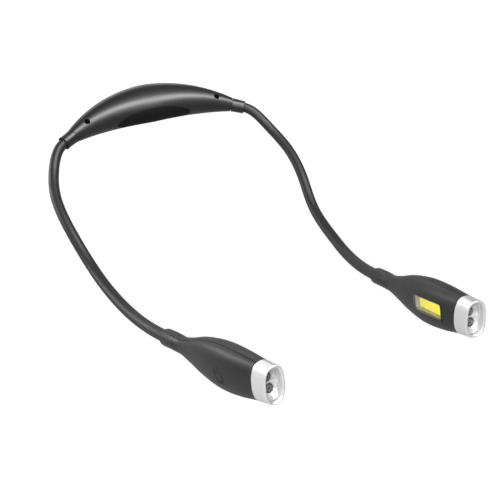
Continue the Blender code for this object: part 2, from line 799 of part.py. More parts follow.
def rounded_outline(length, height, corner):
    """A rectangle with round corners, as (along, up) pairs about its middle."""
    outline = []
    corners = ((1, 1, 0), (-1, 1, 1), (-1, -1, 2), (1, -1, 3))
    for right, top, quarter in corners:
        for turn in spread(0, math.pi / 2, CORNER_ARC_POINTS):
            angle = turn + quarter * math.pi / 2
            outline.append(
                (
                    right * (length / 2 - corner) + corner * math.cos(angle),
                    top * (height / 2 - corner) + corner * math.sin(angle),
                )
            )
    return outline


def side_prism(place, drop, outline, near, far):
    """An outline drawn on the head's side and carried from near to far out of its middle."""
    middle = head_shape(place)[2] - drop
    return loft(
        [[head_point(place + along, out, middle + up) for along, up in outline] for out in (near, far)]
    )


def button_cylinder(profile, sides):
    """A round piece on the power button's axis, from (out, radius) pairs."""
    middle = head_shape(BUTTON_PLACE)[2] - BUTTON_DROP
    return turned(head_point(BUTTON_PLACE, 0, middle), head_axes()[1], profile, sides)


def well_floor():
    """Distance out of the head's middle to the bottom of the strip lamp's well."""
    return head_shape(STRIP_MIDDLE)[1] - WELL_DEPTH - HEAD_WALL


def make_head_shells(body, side, word):
    """Outer shell with the button's hole, and inner shell with the strip lamp's well."""
    rear = HEAD_COLLAR_LENGTH + SEAT_GAP
    shares = [row[0] for row in HEAD_SECTION_SHARES[1:-2]]
    alongs = [rear] + [share * HEAD_LENGTH for share in shares] + [BEZEL_REAR]
    outer = add_piece(
        f"{word}_head_outer_shell",
        loft([half_head_ring(along, 1) for along in alongs]), body, "head_black", side,
    )
    inner = add_piece(
        f"{word}_head_inner_shell",
        loft([half_head_ring(along, -1) for along in alongs]), body, "head_black", side,
    )
    hole = add_piece(
        f"{word}_button_hole",
        button_cylinder(
            ((HEAD_SEAM_OFFSET, BUTTON_RADIUS + SEAT_GAP), (HEAD_WIDTH, BUTTON_RADIUS + SEAT_GAP)),
            ROUND_SIDES,
        ),
        body, None, side, cutter=True,
    )
    combine(outer, hole, "DIFFERENCE")
    outline = rounded_outline(
        WINDOW_LENGTH + 2 * WELL_WALL, WINDOW_HEIGHT + 2 * WELL_WALL, WINDOW_CORNER
    )
    wall_middle = head_shape(STRIP_MIDDLE)[1] - HEAD_WALL / 2
    well = add_piece(
        f"{word}_strip_well_wall",
        side_prism(STRIP_MIDDLE, 0, outline, -well_floor(), -wall_middle),
        body, None, side, cutter=True,
    )
    combine(inner, well, "UNION")
    outline = rounded_outline(
        WINDOW_LENGTH + 2 * SEAT_GAP, WINDOW_HEIGHT + 2 * SEAT_GAP, WINDOW_CORNER
    )
    opening = add_piece(
        f"{word}_strip_well_hole",
        side_prism(STRIP_MIDDLE, 0, outline, CUT_OVERRUN - well_floor(), -HEAD_WIDTH),
        body, None, side, cutter=True,
    )
    combine(inner, opening, "DIFFERENCE")


def make_head_collar(body, side, word):
    """Round rear end of the head, which takes the sleeve."""
    spigot = HEAD_COLLAR_RADIUS - HEAD_WALL - SEAT_GAP
    bore = SLEEVE_RADIUS + SEAT_GAP
    edge = HEAD_COLLAR_RADIUS - bore
    rounding = [
        (edge * (1 - math.sin(a)), bore + edge * math.cos(a))
        for a in spread(math.pi / 2, 0, CORNER_ARC_POINTS)
    ]
    profile = rounding + [
        (HEAD_COLLAR_LENGTH, HEAD_COLLAR_RADIUS),
        (HEAD_COLLAR_LENGTH, spigot),
        (HEAD_COLLAR_LENGTH + HEAD_COLLAR_SPIGOT, spigot),
        (HEAD_COLLAR_LENGTH + HEAD_COLLAR_SPIGOT, WIRE_HOLE_RADIUS),
        (HEAD_COLLAR_LENGTH - HEAD_COLLAR_WEB, WIRE_HOLE_RADIUS),
        (HEAD_COLLAR_LENGTH - HEAD_COLLAR_WEB, bore),
    ]
    mesh = turned(head_point(0, 0, 0), head_axes()[0], profile, ROUND_SIDES, wrap=True)
    add_piece(f"{word}_head_collar", mesh, body, "head_black", side)


def make_bezel(body, side, word):
    """Silver nose ring, whose spigot plugs into the two half shells."""
    rear = BEZEL_REAR + SEAT_GAP
    ledge = HEAD_LENGTH - REFLECTOR_DEPTH - REFLECTOR_FLOOR - SEAT_GAP
    spigot = HEAD_WALL + SEAT_GAP
    rows = (
        (BEZEL_REAR - BEZEL_SPIGOT_LENGTH, spigot),
        (rear, spigot),
        (rear, 0),
        (HEAD_LENGTH - BEZEL_CHAMFER, 0),
        (HEAD_LENGTH, BEZEL_CHAMFER),
        (HEAD_LENGTH, BEZEL_RIM),
        (ledge, BEZEL_RIM),
        (ledge, BEZEL_BORE_INSET),
        (BEZEL_REAR - BEZEL_SPIGOT_LENGTH, BEZEL_BORE_INSET),
    )
    mesh = loft([head_ring(along, inset) for along, inset in rows], wrap=True)
    add_piece(f"{word}_bezel", mesh, body, "bezel_silver", side)


def led_profile(base, tip):
    """A round-nosed LED with its flange, from its base to its tip along the head."""
    dome = tip - LED_RADIUS
    profile = [
        (base, LED_FLANGE_RADIUS),
        (base + LED_FLANGE_THICKNESS, LED_FLANGE_RADIUS),
        (base + LED_FLANGE_THICKNESS, LED_RADIUS),
        (dome, LED_RADIUS),
    ]
    for turn in spread(0, math.pi / 2, DOME_ARC_POINTS)[1:-1]:
        profile.append((dome + LED_RADIUS * math.sin(turn), LED_RADIUS * math.cos(turn)))
    return profile


def make_spot_lamp(body, side, word):
    """Reflector tray, lens, LED board and two LEDs inside the nose."""
    forward, _, upward = head_axes()
    floor = HEAD_LENGTH - REFLECTOR_DEPTH
    back = floor - REFLECTOR_FLOOR
    lens_front = HEAD_LENGTH - BEZEL_RIM
    lens_back = lens_front - LENS_THICKNESS
    edge = BEZEL_RIM + SEAT_GAP
    rows = (
        (back, edge),
        (lens_back - SEAT_GAP, edge),
        (lens_back - SEAT_GAP, edge + REFLECTOR_WALL),
        (floor, edge + REFLECTOR_WALL),
    )
    reflector = add_piece(
        f"{word}_reflector", loft([head_ring(along, inset) for along, inset in rows]),
        body, "reflector_chrome", side,
    )
    mesh = loft([head_ring(along, edge) for along in (lens_back, lens_front)])
    add_piece(f"{word}_spot_lens", mesh, body, "clear_plastic", side)
    board_front = back - SEAT_GAP - LED_FLANGE_THICKNESS - SEAT_GAP
    inset = BEZEL_BORE_INSET + SEAT_GAP
    rings = [head_ring(along, inset) for along in (board_front - BOARD_THICKNESS, board_front)]
    add_piece(f"{word}_led_board", loft(rings), body, "board_white", side)
    widening = (LED_CUP_RADIUS - LED_CUP_THROAT) * CUT_OVERRUN / REFLECTOR_FLOOR
    cone = (
        (back - CUT_OVERRUN, LED_CUP_THROAT - widening),
        (floor + CUT_OVERRUN, LED_CUP_RADIUS + widening),
    )
    for name, place in (("upper", 1), ("lower", -1)):
        origin = head_point(0, 0, place * LED_SPACING / 2)
        cup = add_piece(
            f"{word}_{name}_led_cup", turned(origin, forward, cone, SMALL_SIDES),
            body, None, side, cutter=True,
        )
        combine(reflector, cup, "DIFFERENCE")
        profile = led_profile(board_front + SEAT_GAP, floor)
        mesh = turned(origin, forward, profile, SMALL_SIDES)
        add_piece(f"{word}_{name}_led", mesh, body, "led_resin", side)


def make_strip_lamp(body, side, word):
    """Clear window, and the LED strip's board and phosphor at the bottom of its well."""
    floor = well_floor()
    reach = WINDOW_LENGTH / 2 + CUT_OVERRUN
    window = add_piece(
        f"{word}_strip_window",
        wall_patch(STRIP_MIDDLE, reach, math.pi, STRIP_ARC_POINTS, WINDOW_THICKNESS),
        body, "clear_plastic", side,
    )
    outline = add_piece(
        f"{word}_strip_window_outline",
        side_prism(
            STRIP_MIDDLE, 0, rounded_outline(WINDOW_LENGTH, WINDOW_HEIGHT, WINDOW_CORNER),
            -floor, -HEAD_WIDTH,
        ),
        body, None, side, cutter=True,
    )
    combine(window, outline, "INTERSECT")
    layers = (
        ("strip_board", WINDOW_LENGTH, WINDOW_HEIGHT, floor, BOARD_THICKNESS, "board_white"),
        (
            "strip_phosphor", STRIP_LENGTH, STRIP_HEIGHT,
            floor + BOARD_THICKNESS + SEAT_GAP, STRIP_THICKNESS, "strip_phosphor",
        ),
    )
    for name, length, height, base, thickness, material in layers:
        outline = rounded_outline(length, height, WINDOW_CORNER)
        mesh = side_prism(STRIP_MIDDLE, 0, outline, -base, -(base + thickness))
        add_piece(f"{word}_{name}", mesh, body, material, side)


def button_inner_face():
    """Distance out of the head's middle to the back of the button's cap."""
    return head_shape(BUTTON_PLACE)[1] - HEAD_WALL


def make_button(body, side, word):
    """Round cap cut from the outer wall, its stem, and the switch that it presses."""
    middle = head_shape(BUTTON_PLACE)[2] - BUTTON_DROP
    place = head_point(BUTTON_PLACE, button_inner_face(), middle)
    button_body = Body(f"{word}_power_button", (side * place.x, place.y, place.z), body)
    reach = BUTTON_RADIUS + CUT_OVERRUN
    cap = add_piece(
        f"{word}_power_button",
        wall_patch(BUTTON_PLACE, reach, 0, BUTTON_ARC_POINTS, HEAD_WALL),
        button_body, "head_black", side,
    )
    outline = add_piece(
        f"{word}_power_button_outline",
        button_cylinder(
            ((HEAD_SEAM_OFFSET, BUTTON_RADIUS), (HEAD_WIDTH, BUTTON_RADIUS)), ROUND_SIDES
        ),
        button_body, None, side, cutter=True,
    )
    combine(cap, outline, "INTERSECT")
    board_top = SWITCH_BOARD_PLACE + BOARD_THICKNESS
    switch_base = board_top + SEAT_GAP
    plunger = switch_base + SWITCH_THICKNESS + SWITCH_PLUNGER_HEIGHT
    stem_end = plunger + BUTTON_TRAVEL + SEAT_GAP
    stem = add_piece(
        f"{word}_power_button_stem",
        button_cylinder(
            (
                (stem_end, BUTTON_STEM_RADIUS),
                (button_inner_face() + HEAD_WALL / 2, BUTTON_STEM_RADIUS),
            ),
            SMALL_SIDES,
        ),
        button_body, None, side, cutter=True,
    )
    combine(cap, stem, "UNION")
    switch = add_piece(
        f"{word}_tactile_switch",
        side_prism(
            BUTTON_PLACE, BUTTON_DROP, rounded_outline(SWITCH_SIDE, SWITCH_SIDE, SEAT_GAP),
            switch_base, switch_base + SWITCH_THICKNESS,
        ),
        body, "switch_black", side,
    )
    knob_base = switch_base + SWITCH_THICKNESS / 2
    knob = add_piece(
        f"{word}_tactile_switch_plunger",
        button_cylinder(
            ((knob_base, SWITCH_PLUNGER_RADIUS), (plunger, SWITCH_PLUNGER_RADIUS)), SMALL_SIDES
        ),
        body, None, side, cutter=True,
    )
    combine(switch, knob, "UNION")


def make_switch_board(body, side, word):
    """Circuit board across the middle of the head, between the roof and the floor."""
    rings = []
    for out in (SWITCH_BOARD_PLACE, SWITCH_BOARD_PLACE + BOARD_THICKNESS):
        upper, lower = [], []
        for along in spread(-SWITCH_BOARD_LENGTH / 2, SWITCH_BOARD_LENGTH / 2, STRIP_ARC_POINTS):
            spot = BUTTON_PLACE + along
            angle = seam_angle(spot, HEAD_WALL, SWITCH_BOARD_PLACE + BOARD_THICKNESS)
            top = head_oval(spot, angle, HEAD_WALL)[1] - SEAT_GAP
            bottom = head_oval(spot, -angle, HEAD_WALL)[1] + SEAT_GAP
            upper.append(head_point(spot, out, top))
            lower.append(head_point(spot, out, bottom))
        rings.append(upper + lower[::-1])
    add_piece(f"{word}_switch_board", loft(rings), body, "board_green", side)


def make_head(body, side, word):
    """Everything in and on one lamp head."""
    make_head_collar(body, side, word)
    make_head_shells(body, side, word)
    make_bezel(body, side, word)
    make_spot_lamp(body, side, word)
    make_strip_lamp(body, side, word)
    make_switch_board(body, side, word)
    make_button(body, side, word)


def main():
    """Build the whole light."""
    clear_scene()
    make_materials()
    root = Body("neck_housing", (0, 0, 0))
    make_housing_shells(root)
    make_batteries(root)
    make_battery_door(root)
    for side, word in ((-1, "left"), (1, "right")):
        make_housing_screw(root, side, word)
        make_housing_collar(root, side, word)
        make_contact(root, side, word)
        make_anchor(root, side, word)
        head_body = make_arm(root, side, word)
        make_head(head_body, side, word)
    bpy.context.view_layer.update()


main()
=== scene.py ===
"""Neck reading light, dressed for its portrait.

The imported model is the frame. Finer pieces are laid over it from the same rules that shape
the solids: the arched housing, the sleeves along their path, and the lofted lamp heads.
Each sided piece is made for the right arm, and mirrored for the left. Lengths are metres.
"""
import json
from math import acos, copysign, cos, pi, radians, sin, sqrt

import bmesh
import bpy
from mathutils import Matrix, Vector


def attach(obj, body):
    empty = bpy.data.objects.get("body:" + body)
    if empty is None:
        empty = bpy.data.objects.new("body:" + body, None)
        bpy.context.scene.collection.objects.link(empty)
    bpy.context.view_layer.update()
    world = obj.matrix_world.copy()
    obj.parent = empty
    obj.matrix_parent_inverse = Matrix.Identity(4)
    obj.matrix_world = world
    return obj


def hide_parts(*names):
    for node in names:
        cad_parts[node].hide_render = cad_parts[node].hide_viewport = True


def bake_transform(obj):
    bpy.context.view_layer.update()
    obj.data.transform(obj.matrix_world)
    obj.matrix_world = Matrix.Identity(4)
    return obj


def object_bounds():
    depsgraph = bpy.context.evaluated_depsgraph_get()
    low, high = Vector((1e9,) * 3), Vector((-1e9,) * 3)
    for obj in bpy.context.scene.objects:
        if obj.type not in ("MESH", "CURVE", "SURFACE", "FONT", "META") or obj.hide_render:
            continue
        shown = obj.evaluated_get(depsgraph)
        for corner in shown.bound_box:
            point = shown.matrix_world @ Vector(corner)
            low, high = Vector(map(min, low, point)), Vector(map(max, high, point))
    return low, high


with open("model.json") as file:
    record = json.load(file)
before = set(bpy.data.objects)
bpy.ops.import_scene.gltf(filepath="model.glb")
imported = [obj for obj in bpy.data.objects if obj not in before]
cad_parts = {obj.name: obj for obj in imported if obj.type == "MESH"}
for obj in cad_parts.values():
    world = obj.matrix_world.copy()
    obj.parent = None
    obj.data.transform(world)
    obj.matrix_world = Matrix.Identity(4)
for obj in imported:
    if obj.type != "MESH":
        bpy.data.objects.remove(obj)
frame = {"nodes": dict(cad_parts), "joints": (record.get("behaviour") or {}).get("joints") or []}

CAD_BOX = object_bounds()
JOINTS = {joint["name"]: joint for joint in frame["joints"]}

# Sizes shared with the solids; only the head sections' last three rows are fuller and rounder
SEAT_GAP = 0.0003
OVERRUN = 0.002
HOUSING_HALF_SPAN = 0.078
HOUSING_HEIGHT = 0.0340
HOUSING_DEPTH = 0.0256
HOUSING_WALL = 0.0012
HOUSING_LEAN = radians(55.5)
HOUSING_END_SLOPE = radians(30.6)
HEIGHT_TAPER_POWER = 1.54
DEPTH_TAPER_POWER = 2.1
HOUSING_SQUARENESS = 2.2
COLLAR_RADIUS = 0.0056
COLLAR_LENGTH = 0.0105
COLLAR_MOUTH_DEPTH = 0.0055
COLLAR_MOUTH_CLEARANCE = 0.0007
COLLAR_WEB = 0.0014
COLLAR_SPIGOT_LENGTH = 0.0030
COLLAR_EDGE = 0.0004
SCREW_DISTANCE = 0.0582
SCREW_RISE = -0.0014
SCREW_HEAD_RADIUS = 0.0020
SCREW_HEAD_THICKNESS = 0.0013
SCREW_SHANK_RADIUS = 0.0010
SCREW_SHANK_LENGTH = 0.0055
SCREW_SEAT_DEPTH = 0.0022
SCREW_BOSS_WALL = 0.0010
CELL_RADIUS = 0.0050
CELL_LENGTH = 0.0430
CELL_TIP_RADIUS = 0.0018
CELL_TIP_LENGTH = 0.0010
CONTACT_THICKNESS = 0.0006
CONTACT_PAD_HEIGHT = 0.0019
BULKHEAD_THICKNESS = 0.0016
DOOR_LENGTH = 0.0634
DOOR_WIDTH = 0.0172
DOOR_WRAP = radians(78)
SLEEVE_RADIUS = 0.0040
ARM_BULGE = 0.0228
ARM_REACH = 0.2058
ARM_DROP = 0.0817
ARM_LEAD = 0.0080
ARM_TAIL = 0.0370
WIRE_HOLE_RADIUS = 0.0015
ARM_CURVE_SHARES = (
    (0.66, 0.062, 0.205),
    (0.95, 0.178, 0.372),
    (0.86, 0.312, 0.577),
    (0.60, 0.422, 0.830),
    (0.46, 0.611, 0.955),
)
ARM_END_SHARES = (-0.035, 1.0, 0.917)
ARM_SAMPLES = 400
SPLINE_ORDER = 4
HEAD_LENGTH = 0.1293
HEAD_HEIGHT = 0.0280
HEAD_WIDTH = 0.0178
HEAD_WALL = 0.0014
HEAD_PITCH = radians(12.4)
HEAD_TOE_IN = radians(6.9)
HEAD_ROLL = radians(1.1)
HEAD_COLLAR_RADIUS = 0.0056
HEAD_COLLAR_LENGTH = 0.0120
HEAD_COLLAR_WEB = 0.0012
HEAD_COLLAR_SPIGOT = 0.0028
HEAD_SEAM_OFFSET = 0.0025
HEAD_SECTION_SHARES = (
    (0.092, 0.400, 0.629, 0.000, 2.0),
    (0.140, 0.398, 0.612, 0.008, 2.0),
    (0.200, 0.410, 0.560, 0.022, 2.1),
    (0.300, 0.575, 0.680, 0.028, 2.3),
    (0.420, 0.825, 0.860, 0.026, 2.4),
    (0.560, 0.988, 0.990, 0.030, 2.5),
    (0.660, 1.000, 1.000, 0.026, 2.6),
    (0.780, 0.945, 0.935, 0.014, 2.5),
    (0.892, 0.860, 0.785, 0.004, 2.4),
    (1.000, 0.790, 0.705, -0.004, 2.6),
)
BEZEL_DEPTH = 0.0127
BEZEL_RIM = 0.0015
BEZEL_CHAMFER = 0.0007
BEZEL_SPIGOT_LENGTH = 0.0032
BEZEL_SPIGOT_WALL = 0.0010
REFLECTOR_DEPTH = 0.0070
REFLECTOR_FLOOR = 0.0026
REFLECTOR_WALL = 0.0007
LENS_THICKNESS = 0.0012
LED_RADIUS = 0.0025
LED_SPACING = 0.0063
STRIP_TO_BEZEL = 0.0131
WINDOW_LENGTH = 0.0330
WINDOW_HEIGHT = 0.0090
WINDOW_CORNER = 0.0012
WINDOW_THICKNESS = 0.0012
WELL_DEPTH = 0.0042
WELL_WALL = 0.0009
STRIP_LENGTH = 0.0280
STRIP_HEIGHT = 0.0068
STRIP_THICKNESS = 0.0005
BOARD_THICKNESS = 0.0012
BUTTON_TO_BEZEL = 0.0326
BUTTON_DROP = 0.0015
BUTTON_RADIUS = 0.0052
BUTTON_STEM_RADIUS = 0.0015
BUTTON_STEM_LENGTH = 0.0012

# Finer detail that the solids leave out
SEAM_GAP = 0.00006
NOSE_RAKE = 0.23
NOSE_RAKE_RUN = 0.020
NOSE_LIP = 0.0008
NOSE_ROUND = 0.0005
ICON_RADIUS = 0.0037
ICON_LINE = 0.0006
ICON_DEPTH = 0.0004
LED_HOLE_RADIUS = 0.00272
LED_HOLDER_RADIUS = 0.00205
LED_CHIP_RADIUS = 0.00060
SKIRT_THICKNESS = 0.0005
RIB_COUNT = 26
RIB_DEPTH = 0.00018
SCREW_SLOT_LENGTH = 0.0023
SCREW_SLOT_WIDTH = 0.0005
SCREW_SLOT_DEPTH = 0.0006
BOWL_REACH = 0.0056
BOWL_TURN = 0.001
BOWL_STEPS = 10
BOWL_GROWTH = 0.001
BOWL_MATCH = 0.999
PATCH_HALF_ANGLE = pi / 3
HALVINGS = 40
DOME_RISE_SHARE = 0.6
CRIMP_SHARE = 0.1
ICON_ARC = (radians(130), radians(410))
ICON_BAR_SHARES = (0.3, 1.25)
GEL_ROWS = ((0, 0), (0.6, 0), (0.85, 0.15), (1.0, 0.5))

# Fineness of the meshes
SHARP_ANGLE = radians(32)
ARCH_STATIONS = 96
HOUSING_HALF_POINTS = 36
BOSS_STEPS = 12
HEAD_STATIONS = 84
HEAD_HALF_POINTS = 32
PATCH_STEPS = 24
ICON_STEPS = 48
ROUND_SIDES = 72
SMALL_SIDES = 32
SLEEVE_SIDES = 40
SLEEVE_STEP = 0.0016
LIP_STEPS = 5
CORNER_STEPS = 6
ROUNDING_STEPS = 4
NOSE_STEPS = 10
DOME_STEPS = 10
EDGE_STEPS = 8

# Finishes by name; the frame brings materials of its own, one of them also called cell_wrap
FINISHES = {}

# Studio: a lamp's name, place, aim, length, width, power, and whether it lights gloss only
FLOOR_REACH = 6.0
FLOOR_GAP = 0.0005
LAMPS = (
    ("front_strip", (0.20, -0.36, 0.70), (0.0, -0.08, 0.0), 0.8, 0.26, 13.5, True),
    ("front_glow", (-0.16, -0.76, 0.52), (0.0, -0.30, -0.05), 0.5, 0.16, 5.5, True),
    ("head_glow", (-0.60, 0.40, 0.18), (0.0, -0.30, -0.05), 0.5, 0.16, 2.6, True),
    ("back_strip", (-0.15, 0.60, 0.33), (0.0, -0.25, -0.03), 1.2, 0.20, 1.8, False),
    ("side_fill", (-0.70, -0.95, 0.45), (0.0, -0.25, 0.0), 0.6, 0.6, 9.0, False),
)

# Skins: name, dark and light colour, least and most roughness, grain, relief, specular share
SKINS = (
    ("satin_black_plastic", 0.006, 0.010, 0.36, 0.41, 2400, 0.00002),
    ("pad_rubber", 0.004, 0.008, 0.62, 0.80, 1500, 0.00012, 0.16),
    ("sleeve_rubber", 0.022, 0.034, 0.42, 0.54, 1900, 0.00005, 0.3),
    ("soft_touch_black", 0.008, 0.012, 0.40, 0.48, 2200, 0.00004, 0.35),
    ("frosted_skirt", (0.36, 0.37, 0.24), (0.52, 0.52, 0.34), 0.25, 0.45, 900, 0.00005),
    ("led_dome", 0.20, 0.30, 0.08, 0.16, 700, 0.00001),
    ("led_holder", 0.020, 0.035, 0.35, 0.50, 1500, 0.00003),
    ("led_chip", (0.05, 0.05, 0.03), (0.10, 0.09, 0.05), 0.2, 0.3, 900, 0.00001),
    ("white_board", (0.62, 0.62, 0.58), (0.74, 0.74, 0.70), 0.35, 0.5, 1500, 0.00002),
    ("green_board", (0.02, 0.15, 0.06), (0.03, 0.20, 0.09), 0.30, 0.45, 1500, 0.00002),
    ("switch_body", 0.02, 0.03, 0.4, 0.55, 1500, 0.00003),
)

# Metals: name, colour, least and most roughness, grain, relief, metallic share
METAL_SHADE = 0.94
METALS = (
    ("satin_silver", (0.90, 0.90, 0.91), 0.28, 0.36, 1600, 0.00002, 0.4),
    ("bright_reflector", (0.95, 0.95, 0.95), 0.20, 0.30, 600, 0.00002, 0.3),
    ("black_screw", (0.03, 0.03, 0.03), 0.45, 0.60, 1400, 0.00003, 0.6),
    ("plated_steel", (0.56, 0.56, 0.58), 0.25, 0.42, 1400, 0.00003),
    ("cell_wrap", (0.20, 0.22, 0.25), 0.30, 0.45, 900, 0.00002, 0.6),
)

ARCH_RADIUS = (
    HOUSING_HALF_SPAN - COLLAR_LENGTH * cos(HOUSING_END_SLOPE)
) / sin(HOUSING_END_SLOPE)
SHELL_HALF_LENGTH = ARCH_RADIUS * HOUSING_END_SLOPE
MOUTH_DISTANCE = SHELL_HALF_LENGTH + COLLAR_LENGTH
COLLAR_INNER_END = COLLAR_LENGTH - COLLAR_WEB
BEZEL_REAR = HEAD_LENGTH - BEZEL_DEPTH
BEZEL_BORE_INSET = HEAD_WALL + SEAT_GAP + BEZEL_SPIGOT_WALL
STRIP_MIDDLE = BEZEL_REAR - STRIP_TO_BEZEL - WINDOW_LENGTH / 2
BUTTON_PLACE = BEZEL_REAR - BUTTON_TO_BEZEL


# Node and object helpers


def set_values(node, values):
    """Plain values for a node's inputs."""
    for name, value in values.items():
        node.inputs[name].default_value = value


def add_node(tree, kind, values=None, **settings):
    """A new node with its settings, then plain values for its inputs."""
    family = "GeometryNode" if tree.type == "GEOMETRY" else "ShaderNode"
    node = tree.nodes.new(family + kind)
    for name, value in settings.items():
        setattr(node, name, value)
    set_values(node, values or {})
    return node


def wire(tree, *rows):
    """Join sockets, from rows of node, output, node and input."""
    for source, output, target, entry in rows:
        tree.links.new(source.outputs[output], target.inputs[entry])


def make_group(name, kind, inputs, outputs):
    """A node group and its two ends; a socket is a name, a type and perhaps a value."""
    tree = bpy.data.node_groups.new(name, kind + "NodeTree")
    for way, sockets in (("INPUT", inputs), ("OUTPUT", outputs)):
        for label, form, *value in sockets:
            kind_of_socket = "NodeSocket" + form
            socket = tree.interface.new_socket(label, in_out=way, socket_type=kind_of_socket)
            if value:
                socket.default_value = value[0]
    return tree, tree.nodes.new("NodeGroupInput"), tree.nodes.new("NodeGroupOutput")


def add_object(name, data):
    """A new object in the scene."""
    thing = bpy.data.objects.new(name, data)
    bpy.context.scene.collection.objects.link(thing)
    return thing


# Camera, floor and light


def set_camera():
    """The photograph's viewpoint, found by fitting both mirrored arms and heads."""
    right = Vector((0.9026, -0.4232, -0.0790))
    down = Vector((-0.2390, -0.3390, -0.9100))
    forward = Vector((0.3580, 0.8400, -0.4073))
    data = bpy.data.cameras.new("portrait_camera")
    data.lens = 64.54
    data.sensor_width = 36.0
    data.clip_end = 20.0
    camera = add_object("portrait_camera", data)
    camera.location = (-0.2179, -0.6860, 0.1945)
    camera.rotation_mode = "QUATERNION"
    camera.rotation_quaternion = Matrix((right, -down, -forward)).transposed().to_quaternion()
    bpy.context.scene.camera = camera


def set_world():
    """White for the eye and for glass; gloss sees white sides under a dim ceiling."""
    world = bpy.data.worlds.new("studio_air")
    world.use_nodes = True
    tree = world.node_tree
    background = tree.nodes["Background"]
    set_values(background, {"Color": (1.0, 1.0, 1.0, 1.0)})
    path = add_node(tree, "LightPath")
    place = add_node(tree, "TexCoord")
    split = add_node(tree, "SeparateXYZ")
    ceiling = add_node(
        tree, "MapRange", {"From Min": 0.18, "From Max": 0.62, "To Min": 0.50, "To Max": 0.25}
    )
    gloss = add_node(tree, "Mix", {"A": 0.22})
    clear = add_node(tree, "Math", operation="MAXIMUM")
    level = add_node(tree, "Mix", {"B": 1.0})
    wire(
        tree,
        (place, "Generated", split, 0), (split, "Z", ceiling, "Value"),
        (path, "Is Glossy Ray", gloss, "Factor"), (ceiling, 0, gloss, "B"),
        (path, "Is Camera Ray", clear, 0), (path, "Is Transmission Ray", clear, 1),
        (clear, 0, level, "Factor"), (gloss, "Result", level, "A"),
        (level, "Result", background, "Strength"),
    )
    bpy.context.scene.world = world


def add_softbox(name, place, aim, length, width, power, gloss_only):
    """A long lamp, level and parallel to the housing, that faces a point."""
    data = bpy.data.lights.new(name, "AREA")
    data.shape = "RECTANGLE"
    data.size = length
    data.size_y = width
    data.energy = power
    back = (Vector(place) - Vector(aim)).normalized()
    level = Vector((1, 0, 0)) - back * back.x
    level.normalize()
    lamp = add_object(name, data)
    lamp.location = place
    lamp.rotation_euler = Matrix((level, back.cross(level), back)).transposed().to_euler()
    lamp.visible_diffuse = not gloss_only


def make_floor():
    """Wide pale paper under the light: white far off, with a soft shadow near by."""
    level = CAD_BOX[0][2] - FLOOR_GAP
    data = bpy.data.meshes.new("studio_floor")
    corners = ((-1, -1), (1, -1), (1, 1), (-1, 1))
    corners = [(x * FLOOR_REACH, y * FLOOR_REACH, level) for x, y in corners]
    data.from_pydata(corners, [], [(0, 1, 2, 3)])
    material = bpy.data.materials.new("studio_paper")
    material.use_nodes = True
    tree = material.node_tree
    tree.nodes.remove(tree.nodes["Principled BSDF"])
    paper = add_node(tree, "BsdfDiffuse", {"Color": (0.36, 0.36, 0.36, 1.0)})
    glow = add_node(tree, "Emission")
    path = add_node(tree, "LightPath")
    place = add_node(tree, "TexCoord")
    far = add_node(tree, "VectorMath", operation="LENGTH")
    ramp = add_node(
        tree, "MapRange", {"From Min": 0.35, "From Max": 0.95, "To Min": 0.86, "To Max": 1.0}
    )
    mirror = add_node(tree, "Math", {1: 0.5}, operation="MULTIPLY")
    seen = add_node(tree, "Math", operation="MAXIMUM")
    clear = add_node(tree, "Math", operation="MAXIMUM")
    share = add_node(tree, "Math", operation="MULTIPLY")
    both = add_node(tree, "AddShader")
    wire(
        tree,
        (place, "Object", far, 0), (far, "Value", ramp, "Value"),
        (path, "Is Camera Ray", seen, 0), (path, "Is Glossy Ray", mirror, 0),
        (mirror, 0, seen, 1), (seen, 0, clear, 0), (path, "Is Transmission Ray", clear, 1),
        (clear, 0, share, 0), (ramp, 0, share, 1), (share, 0, glow, "Strength"),
        (paper, 0, both, 0), (glow, 0, both, 1),
        (both, 0, tree.nodes["Material Output"], "Surface"),
    )
    data.materials.append(material)
    add_object("studio_floor", data)


# Finishes


def make_grain_group():
    """Fine moulded grain with slow unevenness, from the piece's own coordinates."""
    tree, entry, leave = make_group(
        "moulded_grain", "Shader",
        (
            ("Grain Scale", "Float", 2600.0), ("Slow Scale", "Float", 45.0),
            ("Slow Amount", "Float", 0.3),
        ),
        (("Height", "Float"), ("Unevenness", "Float")),
    )
    place = add_node(tree, "TexCoord")
    grain = add_node(tree, "TexNoise", {"Detail": 3.0})
    slow = add_node(tree, "TexNoise", {"Detail": 4.0})
    scaled = add_node(tree, "Math", operation="MULTIPLY")
    total = add_node(tree, "Math", operation="ADD")
    wire(
        tree,
        (place, "Object", grain, "Vector"), (place, "Object", slow, "Vector"),
        (entry, "Grain Scale", grain, "Scale"), (entry, "Slow Scale", slow, "Scale"),
        (slow, "Fac", scaled, 0), (entry, "Slow Amount", scaled, 1),
        (grain, "Fac", total, 0), (scaled, 0, total, 1),
        (total, 0, leave, "Height"), (slow, "Fac", leave, "Unevenness"),
    )


